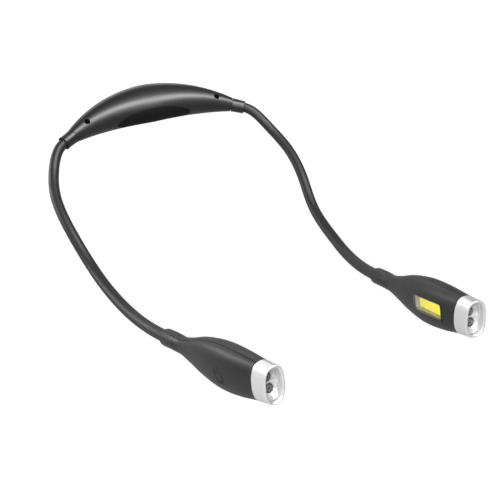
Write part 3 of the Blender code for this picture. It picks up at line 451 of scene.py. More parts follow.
def make_handling_group():
    """Faint hairlines and smudges that handling leaves, as one mask."""
    tree, entry, leave = make_group(
        "handling_marks", "Shader",
        (("Mark Scale", "Float", 160.0), ("Coverage", "Float", 0.5)), (("Marks", "Float"),),
    )
    place = add_node(tree, "TexCoord")
    stretch = add_node(
        tree, "Mapping", {"Rotation": (0.3, 0.2, 0.9), "Scale": (1.0, 0.12, 1.0)}
    )
    hair = add_node(tree, "TexNoise", {"Detail": 6.0, "Roughness": 0.65})
    smudge = add_node(tree, "TexNoise", {"Scale": 38.0})
    mixed = add_node(tree, "Math", operation="MULTIPLY")
    cover = add_node(tree, "MapRange", {"From Max": 0.55})
    wire(
        tree,
        (place, "Object", stretch, "Vector"), (stretch, 0, hair, "Vector"),
        (place, "Object", smudge, "Vector"), (entry, "Mark Scale", hair, "Scale"),
        (hair, "Fac", mixed, 0), (smudge, "Fac", mixed, 1),
        (entry, "Coverage", cover, "From Min"), (mixed, 0, cover, "Value"),
        (cover, 0, leave, "Marks"),
    )


def rgba(colour):
    """A solid colour from three shares, or a grey from one."""
    return (*colour, 1.0) if isinstance(colour, tuple) else (colour, colour, colour, 1.0)


def start_finish(name, values):
    """A material, its Principled shader with plain values, and its tree."""
    material = bpy.data.materials.new(name)
    FINISHES[name] = material
    material.use_nodes = True
    shader = material.node_tree.nodes["Principled BSDF"]
    set_values(shader, values)
    return material, shader, material.node_tree


def start_skin(name, dark, light, smooth, rough, grain, depth, strength):
    """A finish whose colour and relief follow the grain; its gloss is left to be joined."""
    material, shader, tree = start_finish(name, {"Roughness": smooth})
    skin = add_node(
        tree, "Group", {"Grain Scale": grain}, node_tree=bpy.data.node_groups["moulded_grain"]
    )
    colour = add_node(tree, "Mix", {"A": rgba(dark), "B": rgba(light)}, data_type="RGBA")
    gloss = add_node(tree, "MapRange", {"To Min": smooth, "To Max": rough})
    relief = add_node(tree, "Bump", {"Distance": depth, "Strength": strength})
    wire(
        tree,
        (skin, "Unevenness", colour, "Factor"), (colour, "Result", shader, "Base Color"),
        (gloss, 0, shader, "Roughness"), (skin, "Height", relief, "Height"),
        (relief, 0, shader, "Normal"),
    )
    return material, shader, tree, skin, gloss


def make_skin(name, dark, light, smooth, rough, grain, depth, specular=0.5):
    """Moulded plastic or rubber: colour, roughness and relief vary with grain and handling."""
    material, shader, tree, skin, gloss = start_skin(
        name, dark, light, smooth, rough, grain, depth, 0.5
    )
    set_values(shader, {"Specular IOR Level": specular})
    set_values(gloss, {"From Min": 0.3, "From Max": 0.9})
    marks = add_node(
        tree, "Group", {"Coverage": 0.22}, node_tree=bpy.data.node_groups["handling_marks"]
    )
    blend = add_node(tree, "Math", {1: 0.25}, operation="MULTIPLY_ADD")
    wire(
        tree,
        (marks, "Marks", blend, 0), (skin, "Unevenness", blend, 2), (blend, 0, gloss, "Value"),
    )
    return material


def make_metal(name, colour, smooth, rough, grain, depth, metallic=1.0):
    """Satin or bright metal whose gloss wanders a little."""
    dark = tuple(METAL_SHADE * share for share in colour)
    material, shader, tree, skin, gloss = start_skin(
        name, dark, colour, smooth, rough, grain, depth, 0.4
    )
    set_values(shader, {"Metallic": metallic})
    wire(tree, (skin, "Unevenness", gloss, "Value"))
    return material


def make_clear(name, colour, veil):
    """Thin clear plastic: see-through face on, mirror-like at a slant."""
    material, shader, tree = start_finish(
        name, {"Roughness": 0.04, "Base Color": rgba(colour), "IOR": 1.49}
    )
    slant = add_node(tree, "LayerWeight")
    steep = add_node(tree, "Math", {1: 5.0}, operation="POWER")
    cover = add_node(tree, "MapRange", {"To Min": veil})
    wire(
        tree,
        (slant, "Facing", steep, 0), (steep, 0, cover, "Value"), (cover, 0, shader, "Alpha"),
    )
    return material


def make_phosphor_with_painted_glow():
    """Yellow gel over rows of chips: lumpy where the chips lie, its yellow wandering at random,
    with a faint painted glow in that yellow.
    """
    # The emission in the gel's own yellow is a painted glow: the strip is not lit.
    material, shader, tree = start_finish(
        "strip_gel_painted_glow", {"Roughness": 0.42, "Specular IOR Level": 0.3, "Emission Strength": 0.4}
    )
    place = add_node(tree, "TexCoord")
    spots = add_node(tree, "TexVoronoi", {"Scale": 520.0, "Randomness": 0.35})
    cloud = add_node(tree, "TexNoise", {"Scale": 260.0})
    warm = add_node(tree, "MapRange", {"From Min": 0.25, "From Max": 0.75})
    colour = add_node(
        tree, "Mix", {"A": (0.93, 0.78, 0.012, 1.0), "B": (0.95, 0.88, 0.022, 1.0)},
        data_type="RGBA",
    )
    relief = add_node(tree, "Bump", {"Distance": 0.00012})
    wire(
        tree,
        (place, "Object", spots, "Vector"), (place, "Object", cloud, "Vector"),
        (cloud, "Fac", warm, "Value"), (warm, 0, colour, "Factor"),
        (colour, "Result", shader, "Base Color"), (colour, "Result", shader, "Emission Color"),
        (spots, "Distance", relief, "Height"), (relief, 0, shader, "Normal"),
    )
    return material


def make_finishes():
    """Every finish on the light, by its plain name."""
    make_grain_group()
    make_handling_group()
    for values in SKINS:
        make_skin(*values)
    for values in METALS:
        make_metal(*values)
    make_clear("clear_lens", (0.95, 0.96, 0.97), 0.02)
    make_clear("clear_window", (0.94, 0.95, 0.90), 0.03)
    make_phosphor_with_painted_glow()


# Mesh helpers


def spread(start, end, count):
    """Evenly spaced values from start to end."""
    return [start + (end - start) * i / count for i in range(count + 1)]


def bridge(mesh, low, high):
    """Faces between two closed rows of vertices."""
    for i in range(len(low)):
        j = (i + 1) % len(low)
        mesh.faces.new((low[i], low[j], high[j], high[i]))


def skin_rings(rings, wrap=False):
    """A closed mesh through rings of points."""
    mesh = bmesh.new()
    rows = [[mesh.verts.new(point) for point in ring] for ring in rings]
    for low, high in zip(rows, rows[1:]):
        bridge(mesh, low, high)
    if wrap:
        bridge(mesh, rows[-1], rows[0])
    else:
        mesh.faces.new(rows[0])
        mesh.faces.new(rows[-1])
    return mesh


def shade(piece):
    """Smooth faces, with creases kept at corners."""
    piece.data.shade_smooth()
    piece.data.set_sharp_from_angle(angle=SHARP_ANGLE)


def new_piece(name, shape, *finishes, wrap=False):
    """An object of a mesh or of rings of points, with faces turned outwards."""
    mesh = skin_rings(shape, wrap) if isinstance(shape, list) else shape
    bmesh.ops.recalc_face_normals(mesh, faces=mesh.faces)
    data = bpy.data.meshes.new(name)
    mesh.to_mesh(data)
    mesh.free()
    for finish in finishes:
        data.materials.append(FINISHES[finish])
    piece = add_object(name, data)
    shade(piece)
    return piece


def keep_result(piece):
    """Turn what a piece's modifiers make of it into its plain mesh."""
    bpy.context.view_layer.update()
    depsgraph = bpy.context.evaluated_depsgraph_get()
    data = bpy.data.meshes.new_from_object(piece.evaluated_get(depsgraph), depsgraph=depsgraph)
    piece.modifiers.clear()
    piece.data = data


def carve(piece, *steps):
    """Apply cuts and joins with helper objects, then drop the helpers."""
    for operation, tool in steps:
        cut = piece.modifiers.new(tool.name, "BOOLEAN")
        cut.operation = operation
        cut.object = tool
        cut.solver = "EXACT"
    keep_result(piece)
    for _, tool in steps:
        bpy.data.objects.remove(tool)
    shade(piece)
    return piece


def mirrored(piece, name):
    """The same piece for the left side."""
    twin = piece.copy()
    twin.data = piece.data.copy()
    twin.name = name
    bpy.context.scene.collection.objects.link(twin)
    twin.data.transform(Matrix.Scale(-1, 4, (1, 0, 0)))
    twin.data.flip_normals()
    return twin


def hang(piece, body, slot, *nodes):
    """Let a piece ride on a body, in place of its solids."""
    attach(piece, body)
    if nodes:
        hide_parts(*nodes)


def fit_pair(part, piece, slot, *nodes, body="{}_head"):
    """Name a right-hand piece, mirror it, and hang both in place of their solids."""
    piece.name = "right_" + part
    twin = mirrored(piece, "left_" + part)
    for word, one in (("right", piece), ("left", twin)):
        hang(one, body.format(word), slot, *[f"{word}_{node}" for node in nodes])


def axes_along(axis):
    """Two unit vectors square to an axis and to each other."""
    level = axis.cross(Vector((0, 0, 1)))
    if level.length < axis.length / 2:
        level = axis.cross(Vector((0, 1, 0)))
    level.normalize()
    return level, level.cross(axis).normalized()


def circle(centre, axis, radius, sides):
    """Points of a circle about an axis."""
    across, upward = axes_along(axis)
    turns = [2 * pi * i / sides for i in range(sides)]
    return [centre + radius * (cos(a) * across + sin(a) * upward) for a in turns]


def turned(origin, axis, profile, sides=ROUND_SIDES):
    """Rings of a turned form, from (distance along the axis, radius) pairs."""
    return [circle(origin + axis * along, axis, radius, sides) for along, radius in profile]


def rounded_corner(along, radius, size):
    """Points that round a profile's outer front corner, from the side to the front."""
    return [
        (along - size * (1 - cos(a)), radius - size * (1 - sin(a)))
        for a in spread(pi / 2, 0, ROUNDING_STEPS)
    ]


def oval_point(angle, half_out, half_up, squareness):
    """A point of a superellipse; angle 0 is out, a quarter turn is up."""
    cosine, sine = cos(angle), sin(angle)
    return (
        half_out * copysign(abs(cosine) ** (2 / squareness), cosine),
        half_up * copysign(abs(sine) ** (2 / squareness), sine),
    )


def wall_band(places, angles, point, oval, near, far):
    """Rings of a stretch of wall between two depths, over a run of sections and angles."""
    rings = []
    for place in places:
        outer = [oval(place, angle, near) for angle in angles]
        inner = [oval(place, angle, far) for angle in angles[::-1]]
        rings.append([point(place, out, up) for out, up in outer + inner])
    return rings


# Neck housing, worked out as an upright arch that is then leaned back


def lean(vector):
    """Turn a point or direction of the upright arch back by the arch's lean."""
    cosine, sine = cos(HOUSING_LEAN), sin(HOUSING_LEAN)
    return Vector(
        (vector.x, vector.y * cosine + vector.z * sine, vector.z * cosine - vector.y * sine)
    )


def arch_point(distance, out, up):
    """A point by its distance along the arch, out square to the arch's plane, and up in it."""
    angle = max(-HOUSING_END_SLOPE, min(HOUSING_END_SLOPE, distance / ARCH_RADIUS))
    straight = distance - angle * ARCH_RADIUS
    radial = Vector((sin(angle), 0, cos(angle)))
    along = Vector((cos(angle), 0, -sin(angle)))
    centre = Vector((0, 0, HOUSING_HEIGHT / 2 - ARCH_RADIUS)) + ARCH_RADIUS * radial
    return lean(centre + along * straight + radial * up + Vector((0, out, 0)))


def housing_oval(distance, angle, inset):
    """Out and up of the housing's section at an angle, a wall's thickness inside it."""
    share = min(1, abs(distance) / SHELL_HALF_LENGTH)
    depth_swell = 1 - share**DEPTH_TAPER_POWER
    height_swell = 1 - share**HEIGHT_TAPER_POWER
    half_depth = COLLAR_RADIUS + (HOUSING_DEPTH / 2 - COLLAR_RADIUS) * depth_swell
    half_height = COLLAR_RADIUS + (HOUSING_HEIGHT / 2 - COLLAR_RADIUS) * height_swell
    squareness = 2 + (HOUSING_SQUARENESS - 2) * depth_swell
    return oval_point(angle, half_depth - inset, half_height - inset, squareness)


def half_arc(distance, face, inset=HOUSING_WALL / 2, gap=SEAT_GAP):
    """Half of the section, clear of the parting plane; face is -1 in front and 1 at the back."""
    arc = []
    for angle in spread(pi / 2, -pi / 2, HOUSING_HALF_POINTS):
        out, up = housing_oval(distance, angle, inset)
        arc.append(arch_point(distance, face * max(out, gap), up))
    return arc


def half_housing_ring(distance, face):
    """Section of one half shell."""
    arcs = [half_arc(distance, face, inset, SEAM_GAP / 2) for inset in (0, HOUSING_WALL)]
    return arcs[0] + arcs[1][::-1]


def door_block(name, outset, inset, gap, *finishes):
    """The door's oval of the wall in the arch's hollow, from outset outside it to inset inside."""
    reach = SHELL_HALF_LENGTH / 2
    angles = spread(-pi / 2 - DOOR_WRAP, -pi / 2 + DOOR_WRAP, 2 * HOUSING_HALF_POINTS)
    stations = spread(-reach, reach, ARCH_STATIONS)
    wall = wall_band(stations, angles, arch_point, housing_oval, -outset, inset)
    oval = oval_prism(DOOR_LENGTH - 2 * gap, DOOR_WIDTH - 2 * gap)
    block = new_piece(name, wall, *finishes)
    return carve(block, ("INTERSECT", new_piece(name + "_outline", oval)))


def oval_prism(length, width):
    """An oval block from the middle of the housing out through the wall in the hollow."""
    inner, outer = [], []
    for i in range(2 * ROUND_SIDES):
        turn = pi * i / ROUND_SIDES
        point = arch_point(length / 2 * cos(turn), width / 2 * sin(turn), 0)
        inner.append(point)
        outer.append(point + HOUSING_HEIGHT * lean(Vector((0, 0, -1))))
    return [inner, outer]


def screw_axis_point(side):
    """Where a screw's axis crosses the parting plane."""
    return arch_point(side * SCREW_DISTANCE, 0, SCREW_RISE)


def screw_form(name, face, side, profile):
    """A turned form about a screw's axis, out of the parting plane."""
    axis = lean(Vector((0, face, 0)))
    return new_piece(name, turned(screw_axis_point(side), axis, profile, SMALL_SIDES))


def screw_boss(face, side):
    """A screw's boss, kept inside the shell's wall."""
    radius = SCREW_HEAD_RADIUS + SEAT_GAP + SCREW_BOSS_WALL
    boss = screw_form("boss", face, side, ((0, radius), (HOUSING_DEPTH / 2, radius)))
    limits = spread(SCREW_DISTANCE - 2 * radius, SCREW_DISTANCE + 2 * radius, BOSS_STEPS)
    core = [half_arc(side * distance, face) for distance in limits]
    return carve(boss, ("INTERSECT", new_piece("boss_limit", core)))


def screw_hole(face, side):
    """The recess and clearance hole in the front shell, or the blind hole in the back one."""
    clearance = SCREW_SHANK_RADIUS + SEAT_GAP
    recess = SCREW_HEAD_RADIUS + SEAT_GAP
    if face < 0:
        profile = (
            (-OVERRUN, clearance), (SCREW_SEAT_DEPTH, clearance),
            (SCREW_SEAT_DEPTH, recess), (HOUSING_DEPTH, recess),
        )
    else:
        depth = SCREW_SHANK_LENGTH - SCREW_SEAT_DEPTH + SEAT_GAP
        profile = ((-OVERRUN, clearance), (depth, clearance))
    return screw_form("screw_hole", face, side, profile)


def bulkhead(face, side):
    """The wall that stops the battery bay."""
    start = CELL_LENGTH / 2 + CELL_TIP_LENGTH + CONTACT_PAD_HEIGHT + CONTACT_THICKNESS + SEAT_GAP
    walls = [half_arc(side * d, face) for d in (start, start + BULKHEAD_THICKNESS)]
    return new_piece("bulkhead", walls)


def make_housing():
    """Front and back half shells, and the door under the batteries."""
    reach = SHELL_HALF_LENGTH - SEAT_GAP
    turns = spread(-pi / 2, pi / 2, ARCH_STATIONS)
    for name, face in (("front", -1), ("back", 1)):
        rings = [half_housing_ring(reach * sin(turn), face) for turn in turns]
        shell = new_piece(name + "_housing_skin", rings, "satin_black_plastic")
        steps = []
        for side in (-1, 1):
            steps.append(("UNION", bulkhead(face, side)))
            steps.append(("UNION", screw_boss(face, side)))
            steps.append(("DIFFERENCE", screw_hole(face, side)))
        steps.append(("DIFFERENCE", door_block("door_hole", OVERRUN, HOUSING_WALL + SEAT_GAP, 0)))
        carve(shell, *steps)
        hang(shell, "neck_housing", "housing_black", f"housing_{name}_shell")
    door = door_block("neck_pad", 0, HOUSING_WALL, SEAT_GAP, "pad_rubber")
    hang(door, "battery_door", "pad_black", "battery_door")


def make_screws():
    """Cross-slotted screws at the bottom of their recesses."""
    front = lean(Vector((0, -1, 0)))
    seat = SCREW_SEAT_DEPTH + SEAT_GAP
    head = seat + SCREW_HEAD_THICKNESS
    profile = [
        (seat - SCREW_SHANK_LENGTH, SCREW_SHANK_RADIUS), (seat, SCREW_SHANK_RADIUS),
        (seat, SCREW_HEAD_RADIUS),
    ]
    profile += rounded_corner(head, SCREW_HEAD_RADIUS, SCREW_HEAD_THICKNESS / 2)
    screw = new_piece("screw", turned(screw_axis_point(1), front, profile), "black_screw")
    centre = screw_axis_point(1) + front * head
    long, short = SCREW_SLOT_LENGTH / 2, SCREW_SLOT_WIDTH / 2
    cuts = []
    for x, z in ((long, short), (short, long)):
        corners = ((-x, -z), (x, -z), (x, z), (-x, z))
        slot = [
            [centre + lean(Vector((a, y, b))) for a, b in corners]
            for y in (-OVERRUN, SCREW_SLOT_DEPTH)
        ]
        cuts.append(("DIFFERENCE", new_piece("slot", slot)))
    carve(screw, *cuts)
    fit_pair("cross_screw", screw, "screw_black", "housing_screw", body="neck_housing")


def make_housing_collars():
    """Rings at the housing's ends, with rounded lips round the sleeves."""
    spigot = COLLAR_RADIUS - HOUSING_WALL - SEAT_GAP
    sleeve_bore = SLEEVE_RADIUS + SEAT_GAP
    mouth = SLEEVE_RADIUS + COLLAR_MOUTH_CLEARANCE
    bevel = COLLAR_EDGE / 4
    rear = -COLLAR_LENGTH
    end = rear - COLLAR_SPIGOT_LENGTH
    profile = rounded_corner(0, COLLAR_RADIUS, COLLAR_EDGE)
    profile += [
        (rear + bevel, COLLAR_RADIUS), (rear, COLLAR_RADIUS - bevel),
        (rear, spigot), (end, spigot), (end, WIRE_HOLE_RADIUS),
        (-COLLAR_INNER_END, WIRE_HOLE_RADIUS), (-COLLAR_INNER_END, sleeve_bore),
        (-COLLAR_MOUTH_DEPTH, sleeve_bore), (-COLLAR_MOUTH_DEPTH, mouth),
        (-bevel, mouth), (0, mouth + bevel),
    ]
    form = turned(arm_start(), arm_start_axis(), profile)
    ring = new_piece("collar", form, "satin_black_plastic", wrap=True)
    fit_pair("arm_socket", ring, "housing_black", "housing_collar", body="neck_housing")


def make_cells():
    """Three cells with crimped ends and bright tips."""
    half_pitch = CELL_RADIUS + SEAT_GAP / 2
    nest = half_pitch * sqrt(3) / 2
    sag = ARCH_RADIUS - sqrt(ARCH_RADIUS**2 - (CELL_LENGTH / 2) ** 2)
    middle = HOUSING_HEIGHT / 2 - sag / 2
    half = CELL_LENGTH / 2
    crimp = CELL_RADIUS * CRIMP_SHARE
    profile = (
        (-half, CELL_RADIUS - crimp), (-half + crimp, CELL_RADIUS),
        (half - crimp, CELL_RADIUS), (half, CELL_RADIUS - crimp),
        (half, CELL_TIP_RADIUS), (half + CELL_TIP_LENGTH, CELL_TIP_RADIUS),
    )
    cells = (
        ("upper", -nest, half_pitch, 1), ("lower", -nest, -half_pitch, -1), ("rear", nest, 0, 1),
    )
    for name, out, up, way in cells:
        centre = lean(Vector((0, out, middle + up)))
        form = turned(centre, Vector((way, 0, 0)), profile)
        cell = new_piece(name + "_cell", form, "cell_wrap", "plated_steel")
        for face in cell.data.polygons:
            face.material_index = int(abs(face.center.x) > half - crimp * 1.5)
        hang(cell, "neck_housing", "cell_wrap", name + "_battery")


# Arms


def arm_start():
    """Middle of the collar's mouth."""
    return arch_point(MOUTH_DISTANCE, 0, 0)


def arm_start_axis():
    """Direction in which the sleeve leaves the collar."""
    return lean(Vector((cos(HOUSING_END_SLOPE), 0, -sin(HOUSING_END_SLOPE))))


def arm_share_point(shares):
    """A point from its shares of the arm's bulge, reach and drop."""
    bulge, reach, drop = shares
    start = arm_start()
    return Vector(
        (start.x + bulge * ARM_BULGE, start.y - reach * ARM_REACH, start.z - drop * ARM_DROP)
    )


def head_axes():
    """Forward, outward and upward directions of the right head."""
    forward = Vector(
        (
            -sin(HEAD_TOE_IN) * cos(HEAD_PITCH),
            -cos(HEAD_TOE_IN) * cos(HEAD_PITCH),
            sin(HEAD_PITCH),
        )
    )
    level = Vector((0, 0, 1)).cross(forward).normalized()
    square = forward.cross(level)
    outward = level * cos(HEAD_ROLL) - square * sin(HEAD_ROLL)
    upward = square * cos(HEAD_ROLL) + level * sin(HEAD_ROLL)
    return forward, outward, upward


def spline_weights(count, position):
    """Weights of a clamped B-spline's control points at a position from 0 up to 1."""
    spans = count - SPLINE_ORDER + 1
    knots = [0] * SPLINE_ORDER + [i / spans for i in range(1, spans)] + [1] * SPLINE_ORDER
    weights = [float(low <= position < high) for low, high in zip(knots, knots[1:])]
    for degree in range(1, SPLINE_ORDER):
        for i in range(len(knots) - 1 - degree):
            rise = knots[i + degree] - knots[i]
            fall = knots[i + degree + 1] - knots[i + 1]
            rising = (position - knots[i]) / rise * weights[i] if rise else 0
            falling = (knots[i + degree + 1] - position) / fall * weights[i + 1] if fall else 0
            weights[i] = rising + falling
    return weights[:count]


class ArmPath:
    """The right arm's middle line, read by distance from the collar's mouth."""

    def __init__(self):
        start, end = arm_start(), arm_share_point(ARM_END_SHARES)
        controls = [start, start + arm_start_axis() * ARM_LEAD]
        controls += [arm_share_point(shares) for shares in ARM_CURVE_SHARES]
        controls += [end - head_axes()[0] * ARM_TAIL, end]
        self.points = []
        for i in range(ARM_SAMPLES):
            weights = spline_weights(len(controls), i / ARM_SAMPLES)
            self.points.append(sum((w * c for w, c in zip(weights, controls)), Vector((0, 0, 0))))
        self.points.append(end)
        self.distances = [0.0]
        for a, b in zip(self.points, self.points[1:]):
            self.distances.append(self.distances[-1] + (b - a).length)
        self.length = self.distances[-1]

    def at(self, distance):
        """Point at a distance; both ends run on straight."""
        if distance <= 0:
            return arm_start() + arm_start_axis() * distance
        if distance >= self.length:
            return self.points[-1] + head_axes()[0] * (distance - self.length)
        index = next(i for i, d in enumerate(self.distances) if d > distance)
        a, b = self.points[index - 1], self.points[index]
        return a.lerp(b, (distance - self.distances[index - 1]) / (b - a).length)

    def nearest(self, place):
        """Distance along the path of the sample nearest to a place."""
        index = min(range(len(self.points)), key=lambda i: (self.points[i] - place).length)
        return self.distances[index]


def finish_group(tree, entry, leave, last):
    """End a Geometry Nodes tree: make its copies real and give them their finish."""
    real = add_node(tree, "RealizeInstances")
    paint = add_node(tree, "SetMaterial")
    wire(
        tree,
        (last, 0, real, 0), (real, 0, paint, "Geometry"), (entry, "Finish", paint, "Material"),
        (paint, 0, leave, 0),
    )


def make_sleeve_tree():
    """Geometry Nodes tree that sweeps a round sleeve along a path of edges."""
    tree, entry, leave = make_group(
        "sleeve_along_path", "Geometry",
        (("Path", "Geometry"), ("Radius", "Float"), ("Sides", "Int"), ("Finish", "Material")),
        (("Sleeve", "Geometry"),),
    )
    path = add_node(tree, "MeshToCurve")
    section = add_node(tree, "CurvePrimitiveCircle")
    sweep = add_node(tree, "CurveToMesh", {"Fill Caps": True})
    wire(
        tree,
        (entry, "Path", path, "Mesh"), (entry, "Radius", section, "Radius"),
        (entry, "Sides", section, "Resolution"), (path, 0, sweep, "Curve"),
        (section, 0, sweep, "Profile Curve"),
    )
    finish_group(tree, entry, leave, sweep)
    return tree


def grow(piece, tree, values):
    """Run a Geometry Nodes tree on a piece and keep the result as a plain mesh."""
    modifier = piece.modifiers.new(tree.name, "NODES")
    modifier.node_group = tree
    for item in tree.interface.items_tree:
        if item.item_type == "SOCKET" and item.in_out == "INPUT" and item.name in values:
            modifier[item.identifier] = values[item.name]
    keep_result(piece)
    fresh = bmesh.new()
    fresh.from_mesh(piece.data)
    bmesh.ops.recalc_face_normals(fresh, faces=fresh.faces)
    fresh.to_mesh(piece.data)
    fresh.free()
    shade(piece)


def make_sleeves():
    """Five lengths of sleeve for each arm, each of which runs smoothly across one joint."""
    path = ArmPath()
    tree = make_sleeve_tree()
    lengths = (
        ("arm_spread", ("arm_root_sleeve", "arm_sleeve_1")), ("arm_lift", ("arm_sleeve_2",)),
        ("arm_bend", ("arm_sleeve_3",)), ("head_tilt", ("arm_sleeve_4",)),
        ("head_turn", ("arm_head_sleeve",)),
    )
    bends = [path.nearest(Vector(JOINTS["right_" + name]["pos_m"])) for name, _ in lengths]
    ends = [SEAT_GAP - COLLAR_INNER_END]
    ends += [(a + b) / 2 for a, b in zip(bends, bends[1:])]
    ends += [path.length + HEAD_COLLAR_LENGTH - HEAD_COLLAR_WEB - SEAT_GAP]
    finish = FINISHES["sleeve_rubber"]
    values = {"Radius": SLEEVE_RADIUS, "Sides": SLEEVE_SIDES, "Finish": finish}
    for number, ((name, nodes), low, high) in enumerate(zip(lengths, ends, ends[1:]), 1):
        count = max(2, round((high - low) / SLEEVE_STEP))
        data = bpy.data.meshes.new("path")
        points = [path.at(d) for d in spread(low, high, count)]
        data.from_pydata(points, [(i, i + 1) for i in range(count)], [])
        sleeve = add_object(f"right_rubber_sleeve_{number}", data)
        grow(sleeve, tree, values)
        twin = mirrored(sleeve, f"left_rubber_sleeve_{number}")
        for word, one, side in (("right", sleeve, 1), ("left", twin, -1)):
            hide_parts(*[f"{word}_{node}" for node in nodes])
            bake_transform(one)


# Lamp heads


def head_point(along, out, up):
    """A point by its distance along the head, out to the button's side, and up."""
    forward, outward, upward = head_axes()
    return arm_share_point(ARM_END_SHARES) + forward * along + outward * out + upward * up


def head_shape(along):
    """Half height, half width, middle and squareness of the head's section."""
    share = along / HEAD_LENGTH
    rows = HEAD_SECTION_SHARES
    index = next((i for i, row in enumerate(rows) if row[0] >= share), len(rows) - 1)
    index = max(1, index)
    tangents = []
    for i in (index - 1, index):
        low, high = rows[max(0, i - 1)], rows[min(len(rows) - 1, i + 1)]
        tangents.append([(h - l) / (high[0] - low[0]) for l, h in zip(low, high)])
    low, high = rows[index - 1], rows[index]
    step = high[0] - low[0]
    t = (share - low[0]) / step
    values = [
        a * (2 * t**3 - 3 * t**2 + 1) + b * (3 * t**2 - 2 * t**3)
        + step * (m * (t**3 - 2 * t**2 + t) + n * (t**3 - t**2))
        for a, b, m, n in zip(low, high, tangents[0], tangents[1])
    ]
    _, high, wide, middle, squareness = values
    return high * HEAD_HEIGHT / 2, wide * HEAD_WIDTH / 2, -middle * HEAD_HEIGHT, squareness


def head_oval(along, angle, inset):
    """Out and up of the head's section at an angle, a wall's thickness inside it."""
    half_height, half_width, middle, squareness = head_shape(along)
    out, up = oval_point(angle, half_width - inset, half_height - inset, squareness)
    return out, up + middle


def raked_point(along, out, up, share=1.0):
    """A head point of the nose, whose ends slant forward with height by a share of the rake."""
    return head_point(along + NOSE_RAKE * share * up, out, up)


def head_ring(along, inset, share=1.0):
    """The whole outline of the nose's slanted section, a wall's thickness inside it."""
    angles = [2 * pi * i / ROUND_SIDES for i in range(ROUND_SIDES)]
    return [raked_point(along, *head_oval(along, angle, inset), share) for angle in angles]


def half_head_ring(along, face):
    """Section of one half shell; face is 1 on the button's side and -1 on the strip's."""
    seam = HEAD_SEAM_OFFSET + face * SEAT_GAP / 2
    run = max(0, 1 - (BEZEL_REAR - along) / NOSE_RAKE_RUN)
    share = run**2 * (3 - 2 * run)
    _, half_width, _, squareness = head_shape(along)
    loops = []
    for inset in (0, HEAD_WALL):
        turn = acos((seam / (half_width - inset)) ** (squareness / 2))
        end = -turn if face > 0 else 2 * pi - turn
        angles = spread(turn, end, 2 * HEAD_HALF_POINTS)
        loops.append(
            [raked_point(along, *head_oval(along, angle, inset), share) for angle in angles]
        )
    return loops[0] + loops[1][::-1]


def wall_patch(middle, reach, facing, thickness):
    """A stretch of the head's wall that faces one side, as a solid."""
    places = spread(middle - reach, middle + reach, PATCH_STEPS)
    angles = spread(facing - PATCH_HALF_ANGLE, facing + PATCH_HALF_ANGLE, 2 * PATCH_STEPS)
    return wall_band(places, angles, head_point, head_oval, 0, thickness)


def rounded_outline(length, height):
    """A rectangle with round corners, as (along, up) pairs about its middle."""
    corner = WINDOW_CORNER
    outline = []
    for right, top, quarter in ((1, 1, 0), (-1, 1, 1), (-1, -1, 2), (1, -1, 3)):
        for turn in spread(0, pi / 2, CORNER_STEPS):
            angle = turn + quarter * pi / 2
            along = right * (length / 2 - corner) + corner * cos(angle)
            outline.append((along, top * (height / 2 - corner) + corner * sin(angle)))
    return outline


def window_outline(margin):
    """The strip window's outline, wider by a margin on every side."""
    return rounded_outline(WINDOW_LENGTH + 2 * margin, WINDOW_HEIGHT + 2 * margin)


def side_ring(place, drop, outline, out):
    """An outline drawn on the head's side, at a distance out of its middle."""
    middle = head_shape(place)[2] - drop
    return [head_point(place + along, out, middle + up) for along, up in outline]


def side_prism(name, place, drop, outline, near, far, *finishes):
    """A block with that outline, from near to far out of the head's middle."""
    rings = [side_ring(place, drop, outline, out) for out in (near, far)]
    return new_piece(name, rings, *finishes)


def button_form(name, radius, near, far, sides=ROUND_SIDES):
    """A round block on the power button's axis, from near to far out of the head's middle."""
    middle = head_shape(BUTTON_PLACE)[2] - BUTTON_DROP
    base = head_point(BUTTON_PLACE, 0, middle)
    return new_piece(name, turned(base, head_axes()[1], ((near, radius), (far, radius)), sides))


def well_floor():
    """Distance out of the head's middle to the bottom of the strip lamp's well."""
    return head_shape(STRIP_MIDDLE)[1] - WELL_DEPTH - HEAD_WALL


def make_head_shells():
    """Two soft-touch half shells with a fine seam along the crest."""
    alongs = spread(HEAD_COLLAR_LENGTH + SEAT_GAP, BEZEL_REAR, HEAD_STATIONS)
    floor = well_floor()
    wall_middle = head_shape(STRIP_MIDDLE)[1] - HEAD_WALL / 2
    for name, face in (("outer", 1), ("inner", -1)):
        rings = [half_head_ring(along, face) for along in alongs]
        shell = new_piece(name, rings, "soft_touch_black")
        if face > 0:
            radius = BUTTON_RADIUS + SEAT_GAP / 2
            hole = button_form("button_hole", radius, HEAD_SEAM_OFFSET, HEAD_WIDTH)
            carve(shell, ("DIFFERENCE", hole))
        else:
            wide, fine = window_outline(WELL_WALL), window_outline(SEAT_GAP)
            well = side_prism("well", STRIP_MIDDLE, 0, wide, -floor, -wall_middle)
            near = OVERRUN - floor
            hollow = side_prism("well_hole", STRIP_MIDDLE, 0, fine, near, -HEAD_WIDTH)
            carve(shell, ("UNION", well), ("DIFFERENCE", hollow))
        fit_pair(name + "_skin", shell, "head_black", f"head_{name}_shell")


